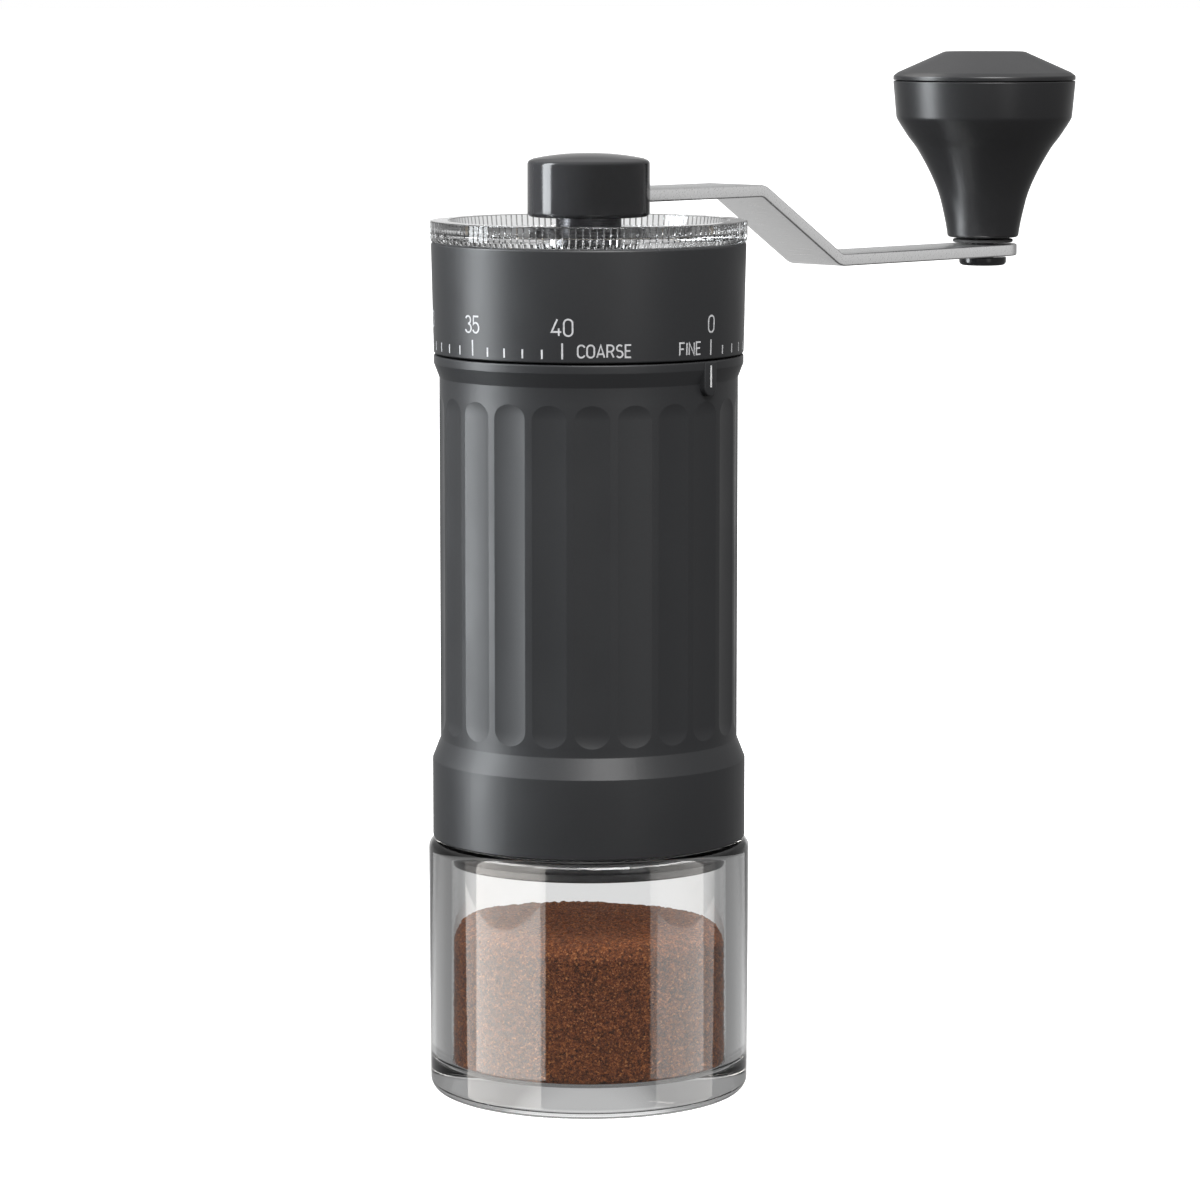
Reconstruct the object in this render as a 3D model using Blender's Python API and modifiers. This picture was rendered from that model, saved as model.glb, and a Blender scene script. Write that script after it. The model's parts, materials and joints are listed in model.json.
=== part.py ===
"""A hand crank coffee grinder, modelled as the separate pieces it comes apart into.

The axis of the body is Z and its foot, the underside of the glass jar, is z = 0. The crank reaches
along +X. Driving dimensions are in millimetres and become metres where a piece is made.
"""

import math

import bmesh
import bpy
from mathutils import Matrix, Vector

MM = 0.001
GAP = 0.3  # left between two pieces that touch on the real object

# Sides of a turned piece, by its size
LARGE = 36
MIDDLE = 24
SMALL = 14

# Jar
JAR_R = 27.2
JAR_BASE_R = 27.0
JAR_TOP = 43.4
JAR_BORE_R = 23.6
JAR_FLOOR = 5.0
JAR_LEDGE_R = 24.9
JAR_LEDGE_Z = 42.4
COFFEE_TOP = 28.5

# Grip body
BODY_BOTTOM = 43.7
COLLAR_R = 26.45
COLLAR_TOP = 57.1
GRIP_R = 25.08
GRIP_BOTTOM = 60.6
GRIP_TOP = 121.6
FLANGE_R = 26.0
FLANGE_EDGE = 124.0
FLANGE_TOP = 125.4
BURR_BORE_R = 21.0
LEDGE_Z = 67.8
HOPPER_R = 19.6
SPIGOT_R = 22.0
SPIGOT_TOP = 132.5
CLIP_GROOVE_R = 21.6
CLIP_GROOVE = (130.3, 131.7)
CLIP_R = (21.9, 23.0)
CLIP_Z = (130.6, 131.4)
KEYWAY_BOTTOM = 128.5
KEYWAY_HALF_WIDTH = 1.6
FLUTES = 22
FLUTE_WIDTH = 5.9
FLUTE_DEPTH = 0.3
FLUTE_END = 2.5  # height of a flute's rounded end
FLUTE_REACH = 4.0  # length of a flute's cutter along the radius
FLUTE_ENDS = (62.1, 118.7)
FLUTE_PHASE = math.radians(226.4)

# Grind scale marker on the flange
MARKER_ANGLE = math.radians(275.6)
MARKER_WIDTH = 3.2
MARKER_BOTTOM = 119.6
MARKER_DEPTH = 2.4

# Adjusting dial
DIAL_BOTTOM = FLANGE_TOP + GAP
DIAL_TOP = 144.2
DIAL_R_BOTTOM = 26.0
DIAL_R_TOP = 26.45
DIAL_LIP_R = 24.7
DIAL_BORE_R = SPIGOT_R + GAP
DIAL_NUT_BORE_R = 23.1
DIAL_NUT_Z = (133.1, 141.0)
DETENT_R = 23.4
DETENT_ANGLE = FLUTE_PHASE - 5.5 * math.tau / FLUTES  # inside a land between two flutes
DETENT_BALL_R = 1.0
DETENT_BALL_Z = 125.1
DETENT_SPRING_Z = (118.4, 123.7)
DETENT_POCKET_BOTTOM = 118.1

# Bearing bridges: three arms each, in line with one another
ARM_ANGLES = tuple(math.radians(a) for a in (30.0, 150.0, 270.0))
ARM_WIDTH = 4.0
BRIDGE_HUB_R = 10.2
BEARING_SEAT_R = 8.6
RACE_OUTER = (7.3, 8.3)
RACE_INNER = (3.3, 4.5)
BALL_PITCH_R = 5.9
BALL_R = 1.05
BALLS = 6
UPPER_BRIDGE_Z = (133.9, 140.7)
UPPER_RACE_Z = (135.1, 139.7)
LOWER_BRIDGE_Z = (65.5, 72.9)
LOWER_RIM_Z = (62.5, 67.5)
UPPER_LIP_TOP = 134.8
LOWER_LIP_TOP = 67.4
CARRIAGE_KEY_BOTTOM = 130.1
LOWER_RACE_Z = (67.7, 72.3)

# Burrs
RING_BURR_R = 20.7
RING_BURR_Z = (46.7, 62.2)
CONE_BURR_Z = (46.7, 62.5)
BURR_TEETH = 18
TOOTH_DEPTH = 0.8
BURR_WASHER_Z = (45.4, 46.4)
BURR_NUT_Z = (42.1, 45.1)
BURR_SPRING_Z = (62.9, 67.1)
NECK_R = 23.2
NECK_BOTTOM = 39.5
NECK_BORE_R = 18.9
NECK_TOP = 46.4

# Drive shaft
SHAFT_R = 3.0
SHAFT_BOTTOM = 40.9
SHAFT_ROUND_TOP = 141.4
SHAFT_TOP = 146.7
HEX_R = 2.9
SHAFT_GROOVE = (139.9, 140.9)
SHAFT_GROOVE_R = 2.3

# Crank
ARM_THICKNESS = 2.1
ARM_HALF_WIDTH = 6.2
ARM_HIGH_TOP = 152.8
ARM_LOW_TOP = 140.1
ARM_BENDS_X = (36.5, 56.5)
ARM_BEND_R = 3.2
CRANK_REACH = 101.3
CAP_R = 10.3
CAP_Z = (148.4, 159.0)
CAP_EDGE_TOP = 157.9
CAP_WALL_R = 8.9
CAP_CEILING = 157.1
SOCKET_R = 5.5
SOCKET_BOTTOM = 141.9
SOCKET_FLANGE_R = 8.5
SOCKET_FLANGE_Z = (148.7, 150.35)
LID_CLIP_Z = (143.1, 143.7)
LID_CLIP_GROOVE = (142.8, 144.0)
LID_CLIP_GROOVE_R = 4.9
SCREW_R = 1.6
SCREW_HEAD_R = 3.6
SCREW_Z = (147.9, 153.1, 155.7)  # tip, underside and top of the head

# Knob
KNOB_R = 16.5
KNOB_BOTTOM = 141.3
KNOB_SEAM = 169.6
KNOB_TOP = 174.9
KNOB_BORE_R = 3.8
KNOB_RECESS_R = 13.0
KNOB_RECESS_Z = 165.6
KNOB_CAP_FLAT_R = 7.3
KNOB_CAP_BOTTOM = 167.8
PIN_R = 2.0
PIN_TOP = 167.3
PIN_GROOVE_R = 1.5
PIN_GROOVE = (166.1, 166.9)
PIN_HEAD_R = 4.4
PIN_HEAD_Z = (136.2, 137.7)
RETAINER_R = (1.8, 5.0)
RETAINER_Z = (166.2, 166.8)
WASHER_R = (2.4, 5.6)
WASHER_Z = (140.4, 141.0)
BUSH_BORE_R = 2.3

# Lid
LID_R = 26.6
LID_BOTTOM = DIAL_TOP + GAP
LID_TOP = 147.8
LID_DISC_Z = (144.2, 145.7)
LID_DISC_R = 23.0
LID_HOLE_R = 6.1
LID_SKIRT_R = (20.6, 22.4)
LID_SKIRT_BOTTOM = 142.1

PARTS = bpy.data.collections.new("coffee_grinder")
CUTTERS = bpy.data.collections.new("cutters")


def material(name, colour, roughness, metallic=0.0, transmission=0.0):
    """A Principled material, the same one for every piece that asks for the name."""
    found = bpy.data.materials.get(name)
    if found:
        return found
    made = bpy.data.materials.new(name)
    made.use_nodes = True
    shader = made.node_tree.nodes["Principled BSDF"]
    shader.inputs["Base Color"].default_value = (*colour, 1.0)
    shader.inputs["Roughness"].default_value = roughness
    shader.inputs["Metallic"].default_value = metallic
    shader.inputs["Transmission Weight"].default_value = transmission
    return made


def anodised():
    return material("anodised_aluminium", (0.045, 0.046, 0.049), 0.45, 0.6)


def steel():
    return material("steel", (0.62, 0.62, 0.62), 0.3, 1.0)


def brushed_steel():
    return material("brushed_steel", (0.70, 0.69, 0.67), 0.28, 1.0)


def brass():
    return material("brass", (0.72, 0.52, 0.25), 0.3, 1.0)


def black_gloss():
    return material("black_gloss_plastic", (0.016, 0.016, 0.018), 0.18)


def black_satin():
    return material("black_satin_plastic", (0.02, 0.02, 0.022), 0.38)


def place(piece, finish, collection=PARTS):
    """Puts a new object in a collection with its material."""
    for home in list(piece.users_collection):
        home.objects.unlink(piece)
    collection.objects.link(piece)
    if finish:
        piece.data.materials.clear()
        piece.data.materials.append(finish)
    return piece


def as_cutter(piece):
    piece.hide_render = True
    piece.display_type = "WIRE"
    return place(piece, None, CUTTERS)


def turned(name, outline, finish, steps=MIDDLE, x=0.0, ring=True):
    """A turned piece. Its outline is (radius, z) pairs whose outer side runs from top to bottom.

    A ring's outline closes on itself; otherwise both of its ends are on the axis.
    """
    mesh = bpy.data.meshes.new(name)
    edges = [(i, i + 1) for i in range(len(outline) - 1)]
    if ring:
        edges.append((len(outline) - 1, 0))
    mesh.from_pydata([(r * MM, 0.0, z * MM) for r, z in outline], edges, [])
    piece = bpy.data.objects.new(name, mesh)
    piece.location.x = x * MM
    screw = piece.modifiers.new("turn", "SCREW")
    screw.axis = "Z"
    screw.angle = math.tau
    screw.steps = steps
    screw.render_steps = steps
    screw.use_merge_vertices = True
    screw.merge_threshold = 0.00001
    screw.use_smooth_shade = True
    return place(piece, finish)


def tube(name, inner, outer, z_low, z_high, finish, steps=MIDDLE, x=0.0):
    """A plain ring between two radii."""
    outline = [(outer, z_high), (outer, z_low), (inner, z_low), (inner, z_high)]
    return turned(name, outline, finish, steps, x)


def box(name, low, high, finish=None, turn=0.0):
    """A box between two corners, then turned about the Z axis."""
    mesh = bpy.data.meshes.new(name)
    cage = bmesh.new()
    bmesh.ops.create_cube(cage, size=1.0)
    low, high = Vector(low) * MM, Vector(high) * MM
    size = high - low
    bmesh.ops.scale(cage, vec=size, verts=cage.verts)
    bmesh.ops.translate(cage, vec=(low + high) / 2, verts=cage.verts)
    cage.to_mesh(mesh)
    cage.free()
    piece = bpy.data.objects.new(name, mesh)
    piece.rotation_euler.z = turn
    return place(piece, finish)


def prism(name, radius, z_low, z_high, sides, finish=None, x=0.0, y=0.0):
    """An upright cylinder or prism whose corners lie at the radius."""
    bpy.ops.mesh.primitive_cylinder_add(
        vertices=sides,
        radius=radius * MM,
        depth=(z_high - z_low) * MM,
        location=(x * MM, y * MM, (z_low + z_high) / 2 * MM),
    )
    piece = bpy.context.object
    piece.name = piece.data.name = name
    return place(piece, finish)


def combine(piece, operation, other):
    """Cuts the piece with another object, or joins that object to it."""
    step = piece.modifiers.new(other.name, "BOOLEAN")
    step.operation = operation
    step.object = as_cutter(other)
    step.solver = "EXACT"
    return piece


def cut(piece, other):
    return combine(piece, "DIFFERENCE", other)


def join(piece, other):
    return combine(piece, "UNION", other)


def solid_of(curve, name, finish, collection=PARTS):
    """A curve object's evaluated shape as a mesh object with its caps welded."""
    collection.objects.link(curve)
    bpy.context.view_layer.update()
    seen = curve.evaluated_get(bpy.context.evaluated_depsgraph_get())
    mesh = bpy.data.meshes.new_from_object(seen)
    cage = bmesh.new()
    cage.from_mesh(mesh)
    bmesh.ops.remove_doubles(cage, verts=cage.verts, dist=0.000001)
    cage.to_mesh(mesh)
    cage.free()
    piece = bpy.data.objects.new(name, mesh)
    piece.matrix_world = curve.matrix_world.copy()
    bpy.data.objects.remove(curve)
    mesh.name = name
    return place(piece, finish, collection)


def helix(name, coil_r, wire_r, z_low, z_high, turns, finish, centre=(0.0, 0.0)):
    """A coil spring of round wire whose ends lie inside the two heights."""
    points_per_turn = 8
    count = round(turns * points_per_turn) + 1
    data = bpy.data.curves.new(name, "CURVE")
    data.dimensions = "3D"
    data.bevel_depth = wire_r * MM
    data.bevel_resolution = 1
    data.use_fill_caps = True
    spline = data.splines.new("POLY")
    spline.points.add(count - 1)
    rise = z_high - z_low - 2 * wire_r
    for i, point in enumerate(spline.points):
        angle = math.tau * i / points_per_turn
        z = z_low + wire_r + rise * i / (count - 1)
        x = centre[0] + coil_r * math.cos(angle)
        y = centre[1] + coil_r * math.sin(angle)
        point.co = (x * MM, y * MM, z * MM, 1.0)
    return solid_of(bpy.data.objects.new(name + "_path", data), name, finish)


def lofted_ring(name, sections, teeth, finish):
    """A ring lofted through sections of (radius, z, tooth depth, twist), closed on itself.

    Each section is a star with two corners a tooth; a depth of zero makes it round.
    """
    corners = 2 * teeth
    cage = bmesh.new()
    loops = []
    for radius, z, depth, twist in sections:
        loop = []
        for i in range(corners):
            angle = math.tau * i / corners + twist
            r = (radius - depth * (i % 2)) * MM
            loop.append(cage.verts.new((r * math.cos(angle), r * math.sin(angle), z * MM)))
        loops.append(loop)
    for a, b in zip(loops, loops[1:] + loops[:1]):
        for i in range(corners):
            j = (i + 1) % corners
            cage.faces.new((a[i], a[j], b[j], b[i]))
    bmesh.ops.recalc_face_normals(cage, faces=cage.faces)
    mesh = bpy.data.meshes.new(name)
    cage.to_mesh(mesh)
    cage.free()
    return place(bpy.data.objects.new(name, mesh), finish)


# Jar ---------------------------------------------------------------------------------------------


def make_jar():
    glass = material("clear_glass", (0.95, 0.96, 0.96), 0.02, 0.0, 1.0)
    outline = [
        (0.0, JAR_FLOOR),
        (JAR_BORE_R - 0.8, JAR_FLOOR),
        (JAR_BORE_R, JAR_FLOOR + 0.8),
        (JAR_BORE_R, JAR_LEDGE_Z),
        (JAR_LEDGE_R, JAR_LEDGE_Z),
        (JAR_LEDGE_R, JAR_TOP - 0.3),
        (JAR_LEDGE_R + 0.5, JAR_TOP),
        (JAR_R - 0.8, JAR_TOP),
        (JAR_R, JAR_TOP - 0.8),
        (JAR_BASE_R, 2.0),
        (JAR_BASE_R - 0.6, 0.6),
        (JAR_BASE_R - 2.0, 0.0),
        (0.0, 0.0),
    ]
    turned("jar", outline, glass, LARGE, ring=False)
    rubber = material("silicone", (0.05, 0.05, 0.05), 0.6)
    tube("jar_seal", JAR_BORE_R + GAP, JAR_LEDGE_R - GAP, JAR_LEDGE_Z + GAP, JAR_TOP - 0.1, rubber, LARGE)


def make_coffee():
    """The heap of grounds, a little higher in the middle than at the glass."""
    brown = material("ground_coffee", (0.12, 0.055, 0.025), 0.9)
    r = JAR_BORE_R - GAP
    floor = JAR_FLOOR + GAP
    outline = [
        (0.0, COFFEE_TOP + 0.3),
        (r * 0.85, COFFEE_TOP),
        (r, COFFEE_TOP - 1.0),
        (r, floor + 0.8),
        (r - 0.8, floor),
        (0.0, floor),
    ]
    turned("coffee_grounds", outline, brown, LARGE, ring=False)


# Housing -----------------------------------------------------------------------------------------


def flute_cutters():
    """One cutter for each flute, standing around the grip: a long slot shape with rounded ends."""
    cage = bmesh.new()
    bmesh.ops.create_cone(cage, cap_ends=True, segments=20, radius1=1.0, radius2=1.0, depth=FLUTE_REACH)
    bmesh.ops.rotate(cage, verts=cage.verts, matrix=Matrix.Rotation(math.pi / 2, 3, "Y"))
    low, high = FLUTE_ENDS
    straight = (high - low) / 2 - FLUTE_END
    for corner in cage.verts:
        corner.co.x += GRIP_R - FLUTE_DEPTH + FLUTE_REACH / 2
        corner.co.y *= FLUTE_WIDTH / 2
        corner.co.z = corner.co.z * FLUTE_END + math.copysign(straight, corner.co.z) + (low + high) / 2
        corner.co *= MM
    mesh = bpy.data.meshes.new("flute_cutter")
    cage.to_mesh(mesh)
    cage.free()
    group = bpy.data.collections.new("flute_cutters")
    CUTTERS.children.link(group)
    for i in range(FLUTES):
        tool = bpy.data.objects.new(f"flute_cutter_{i + 1}", mesh)
        tool.rotation_euler.z = FLUTE_PHASE + math.tau * i / FLUTES
        as_cutter(tool)
        CUTTERS.objects.unlink(tool)
        group.objects.link(tool)
    return group


def make_grip_body():
    outline = [
        (SPIGOT_R, SPIGOT_TOP),
        (SPIGOT_R, CLIP_GROOVE[1]),
        (CLIP_GROOVE_R, CLIP_GROOVE[1]),
        (CLIP_GROOVE_R, CLIP_GROOVE[0]),
        (SPIGOT_R, CLIP_GROOVE[0]),
        (SPIGOT_R, FLANGE_TOP),
        (FLANGE_R, FLANGE_TOP),
        (FLANGE_R, FLANGE_EDGE),
        (GRIP_R, GRIP_TOP),
        (GRIP_R, GRIP_BOTTOM),
        (COLLAR_R, COLLAR_TOP),
        (COLLAR_R, BODY_BOTTOM),
        (BURR_BORE_R, BODY_BOTTOM),
        (BURR_BORE_R, LEDGE_Z),
        (HOPPER_R, LEDGE_Z),
        (HOPPER_R, SPIGOT_TOP),
    ]
    body = turned("grip_body", outline, anodised(), 2 * FLUTES)
    body.rotation_euler.z = FLUTE_PHASE
    flutes = body.modifiers.new("flutes", "BOOLEAN")
    flutes.operation = "DIFFERENCE"
    flutes.operand_type = "COLLECTION"
    flutes.collection = flute_cutters()
    flutes.solver = "EXACT"
    slot_half = MARKER_WIDTH / 2 + GAP
    floor = FLANGE_R - MARKER_DEPTH - GAP
    low = (floor, -slot_half, MARKER_BOTTOM + MARKER_WIDTH / 2)
    slot = box("marker_slot", low, (30.0, slot_half, FLANGE_TOP + 1.0), turn=MARKER_ANGLE)
    cut(body, slot)
    cut(body, marker_end("marker_slot_end", floor, 30.0, slot_half))
    for i, angle in enumerate(ARM_ANGLES):
        keyway = box(
            f"keyway_{i + 1}",
            (HOPPER_R - 1.0, -KEYWAY_HALF_WIDTH, KEYWAY_BOTTOM),
            (SPIGOT_R + 1.0, KEYWAY_HALF_WIDTH, SPIGOT_TOP + 1.0),
            turn=angle,
        )
        cut(body, keyway)
    x, y = DETENT_R * math.cos(DETENT_ANGLE), DETENT_R * math.sin(DETENT_ANGLE)
    pocket_r = DETENT_BALL_R + GAP
    cut(body, prism("detent_pocket", pocket_r, DETENT_POCKET_BOTTOM, FLANGE_TOP + 1.0, 12, x=x, y=y))


def marker_end(name, inner, outer, radius):
    """The round lower end of the marker or of its slot, lying along the marker's radius."""
    bpy.ops.mesh.primitive_cylinder_add(vertices=16, radius=radius * MM, depth=(outer - inner) * MM)
    piece = bpy.context.object
    piece.name = piece.data.name = name
    middle = (inner + outer) / 2 * MM
    centre = Vector((middle, 0.0, (MARKER_BOTTOM + MARKER_WIDTH / 2) * MM))
    piece.data.transform(Matrix.Translation(centre) @ Matrix.Rotation(math.pi / 2, 4, "Y"))
    piece.rotation_euler.z = MARKER_ANGLE
    return place(piece, None)


def make_marker():
    """The tongue under the dial that carries the reading line."""
    half = MARKER_WIDTH / 2
    inner = FLANGE_R - MARKER_DEPTH
    low = (inner, -half, MARKER_BOTTOM + half)
    marker = box("index_marker", low, (FLANGE_R, half, FLANGE_TOP), black_gloss(), MARKER_ANGLE)
    join(marker, marker_end("marker_round", inner, FLANGE_R, half))


def make_detent():
    x, y = DETENT_R * math.cos(DETENT_ANGLE), DETENT_R * math.sin(DETENT_ANGLE)
    place_of_ball = Vector((x, y, DETENT_BALL_Z)) * MM
    bpy.ops.mesh.primitive_uv_sphere_add(
        segments=10, ring_count=6, radius=DETENT_BALL_R * MM, location=place_of_ball
    )
    ball = bpy.context.object
    ball.name = ball.data.name = "detent_ball"
    place(ball, steel())
    helix("detent_spring", 0.75, 0.2, *DETENT_SPRING_Z, 3, steel(), (x, y))


def make_dial_clip():
    """A spring ring that holds the dial on the spigot, open at one side."""
    clip = tube("dial_clip", *CLIP_R, *CLIP_Z, steel(), LARGE)
    low = (CLIP_R[0] - 1.0, -2.0, CLIP_Z[0] - 1.0)
    cut(clip, box("clip_opening", low, (CLIP_R[1] + 1.0, 2.0, CLIP_Z[1] + 1.0), turn=math.pi / 2))


def bridge(name, rim, rim_z, hub_z, lip_top, finish):
    """A bearing bridge: a rim, a hub with a seat for the bearing, and three arms between them."""
    inner, outer = rim
    low, high = hub_z
    outline = [
        (BRIDGE_HUB_R, high),
        (BRIDGE_HUB_R, low),
        (6.3, low),
        (6.3, lip_top),
        (BEARING_SEAT_R, lip_top),
        (BEARING_SEAT_R, high),
    ]
    piece = turned(name, outline, finish)
    join(piece, tube(name + "_rim", inner, outer, *rim_z, None, LARGE))
    for i, angle in enumerate(ARM_ANGLES):
        reach = (inner + outer) / 2
        arm_low = max(rim_z[0], low) + 0.4
        arm_high = min(rim_z[1], high) - 0.4
        arm = box(
            f"{name}_arm_{i + 1}",
            (BRIDGE_HUB_R - 0.6, -ARM_WIDTH / 2, arm_low),
            (reach, ARM_WIDTH / 2, arm_high),
            turn=angle,
        )
        join(piece, arm)
    return piece


def bearing(name, z_range, finish):
    """A ball bearing as its two races and its caged balls."""
    low, high = z_range
    tube(name + "_outer_race", *RACE_OUTER, low, high, finish)
    tube(name + "_inner_race", *RACE_INNER, low, high, finish, SMALL)
    middle = (low + high) / 2
    ring = (BALL_PITCH_R - 0.35, BALL_PITCH_R + 0.35, middle - 0.6, middle + 0.6)
    cage = tube(name + "_balls", *ring, finish, 2 * BALLS)
    for i in range(BALLS):
        angle = math.tau * i / BALLS
        bpy.ops.mesh.primitive_uv_sphere_add(segments=8, ring_count=4, radius=BALL_R * MM)
        ball = bpy.context.object
        ball.name = f"{name}_ball_{i + 1}"
        x, y = BALL_PITCH_R * math.cos(angle), BALL_PITCH_R * math.sin(angle)
        ball.location = (x * MM, y * MM, middle * MM)
        join(cage, ball)


def make_ring_burr():
    """The fixed burr: teeth inside, wide at its mouth and narrowing to the grinding edge."""
    low, high = RING_BURR_Z
    sections = [
        (RING_BURR_R, high, 0.0, 0.0),
        (RING_BURR_R, low, 0.0, 0.0),
        (17.9, low, 0.0, 0.0),
        (17.8 + TOOTH_DEPTH * 0.5, low + 3.0, TOOTH_DEPTH * 0.4, 0.10),
        (17.4 + TOOTH_DEPTH, low + 8.0, TOOTH_DEPTH, 0.22),
        (18.2 + TOOTH_DEPTH, high, TOOTH_DEPTH, 0.34),
    ]
    lofted_ring("ring_burr", sections, BURR_TEETH, steel())


def make_neck_ring():
    """The threaded neck that the jar screws on to. It also clamps the ring burr from below."""
    outline = [
        (BURR_BORE_R - GAP, NECK_TOP),
        (BURR_BORE_R - GAP, JAR_TOP),
        (NECK_R, JAR_TOP),
        (NECK_R, NECK_BOTTOM + 0.4),
        (NECK_R - 0.4, NECK_BOTTOM),
        (NECK_BORE_R, NECK_BOTTOM),
        (NECK_BORE_R, NECK_TOP),
    ]
    turned("neck_ring", outline, black_satin(), LARGE)


# Dial --------------------------------------------------------------------------------------------


def make_dial():
    outline = [
        (DIAL_R_TOP - 0.4, DIAL_TOP),
        (DIAL_R_TOP, DIAL_TOP - 0.4),
        (DIAL_R_BOTTOM, DIAL_BOTTOM),
        (DIAL_LIP_R, DIAL_BOTTOM),
        (DIAL_LIP_R, DIAL_BOTTOM + 1.0),
        (DIAL_BORE_R, DIAL_BOTTOM + 1.0),
        (DIAL_BORE_R, CLIP_GROOVE[0]),
        (23.3, CLIP_GROOVE[0]),
        (23.3, CLIP_GROOVE[1]),
        (DIAL_BORE_R, CLIP_GROOVE[1]),
        (DIAL_BORE_R, DIAL_NUT_Z[0] - GAP),
        (DIAL_NUT_BORE_R, DIAL_NUT_Z[0] - GAP),
        (DIAL_NUT_BORE_R, DIAL_TOP),
    ]
    turned("dial_ring", outline, anodised(), LARGE)
    tube("dial_nut", 21.4, DIAL_NUT_BORE_R - GAP, *DIAL_NUT_Z, brass(), LARGE)


# Carriage and spindle ----------------------------------------------------------------------------


def make_carriage():
    """The upper bridge rides in the dial's thread; its keys slide in the spigot's keyways."""
    low, high = UPPER_BRIDGE_Z
    carriage = bridge("upper_bridge", (19.5, 21.0), (low, high), UPPER_BRIDGE_Z, UPPER_LIP_TOP, anodised())
    for i, angle in enumerate(ARM_ANGLES):
        key = box(f"carriage_key_{i + 1}", (19.9, -1.2, CARRIAGE_KEY_BOTTOM), (20.8, 1.2, low + 1.0), turn=angle)
        join(carriage, key)
    bearing("upper_bearing", UPPER_RACE_Z, steel())


def make_lower_bearing():
    rim = (18.4, BURR_BORE_R - GAP)
    bridge("lower_bridge", rim, LOWER_RIM_Z, LOWER_BRIDGE_Z, LOWER_LIP_TOP, anodised())
    bearing("lower_bearing", LOWER_RACE_Z, steel())


def make_shaft():
    outline = [
        (0.0, SHAFT_ROUND_TOP),
        (SHAFT_R, SHAFT_ROUND_TOP),
        (SHAFT_R, SHAFT_GROOVE[1]),
        (SHAFT_GROOVE_R, SHAFT_GROOVE[1]),
        (SHAFT_GROOVE_R, SHAFT_GROOVE[0]),
        (SHAFT_R, SHAFT_GROOVE[0]),
        (SHAFT_R, SHAFT_BOTTOM + 0.5),
        (SHAFT_R - 0.5, SHAFT_BOTTOM),
        (0.0, SHAFT_BOTTOM),
    ]
    shaft = turned("drive_shaft", outline, steel(), SMALL, ring=False)
    join(shaft, prism("shaft_hexagon", HEX_R, SHAFT_ROUND_TOP - 0.3, SHAFT_TOP, 6))
    middle = sum(SHAFT_GROOVE) / 2
    clip = tube("shaft_clip", SHAFT_GROOVE_R + GAP, 4.6, middle - 0.3, middle + 0.3, steel(), SMALL)
    cut(clip, box("shaft_clip_opening", (1.5, -1.0, middle - 1.0), (6.0, 1.0, middle + 1.0)))


def make_cone_burr():
    """The turning burr: a toothed cone, widest at the bottom where it meets the ring burr."""
    low, high = CONE_BURR_Z
    bore = SHAFT_R + GAP
    deep = 2 * TOOTH_DEPTH
    sections = [
        (bore, high, 0.0, 0.0),
        (6.6, high, 0.0, 0.0),
        (8.6, high - 2.0, deep, -0.30),
        (12.4, high - 8.0, deep, -0.18),
        (15.9, low + 3.0, TOOTH_DEPTH, -0.08),
        (17.45, low, TOOTH_DEPTH * 0.3, 0.0),
        (bore, low, 0.0, 0.0),
    ]
    lofted_ring("cone_burr", sections, BURR_TEETH, steel())
    tube("burr_washer", bore, 7.0, *BURR_WASHER_Z, steel(), SMALL)
    nut_low, nut_high = BURR_NUT_Z
    nut = prism("burr_nut", 5.8, nut_low, nut_high, 6, steel())
    cut(nut, prism("burr_nut_bore", bore, nut_low - 1.0, nut_high + 1.0, SMALL))
    helix("burr_spring", 4.1, 0.45, *BURR_SPRING_Z, 3, steel())


# Crank -------------------------------------------------------------------------------------------


def fillet(points, radius, steps):
    """Rounds each inner corner of an open (x, z) path to an arc."""
    path = [points[0]]
    for before, corner, after in zip(points, points[1:], points[2:]):
        a = (Vector(before) - Vector(corner)).normalized()
        b = (Vector(after) - Vector(corner)).normalized()
        half = a.angle(b) / 2
        centre = Vector(corner) + (a + b).normalized() * radius / math.sin(half)
        start = Vector(corner) + a * radius / math.tan(half) - centre
        end = Vector(corner) + b * radius / math.tan(half) - centre
        sweep = start.angle_signed(end)
        for k in range(steps + 1):
            turn = -sweep * k / steps
            c, s = math.cos(turn), math.sin(turn)
            path.append((centre.x + c * start.x - s * start.y, centre.y + s * start.x + c * start.y))
    path.append(points[-1])
    return path


def offset(path, distance):
    """The path moved sideways by a distance, to its left as it runs."""
    moved = []
    for i, point in enumerate(path):
        before = Vector(path[max(i - 1, 0)])
        after = Vector(path[min(i + 1, len(path) - 1)])
        along = (after - before).normalized()
        moved.append((point[0] - along.y * distance, point[1] + along.x * distance))
    return moved


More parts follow.
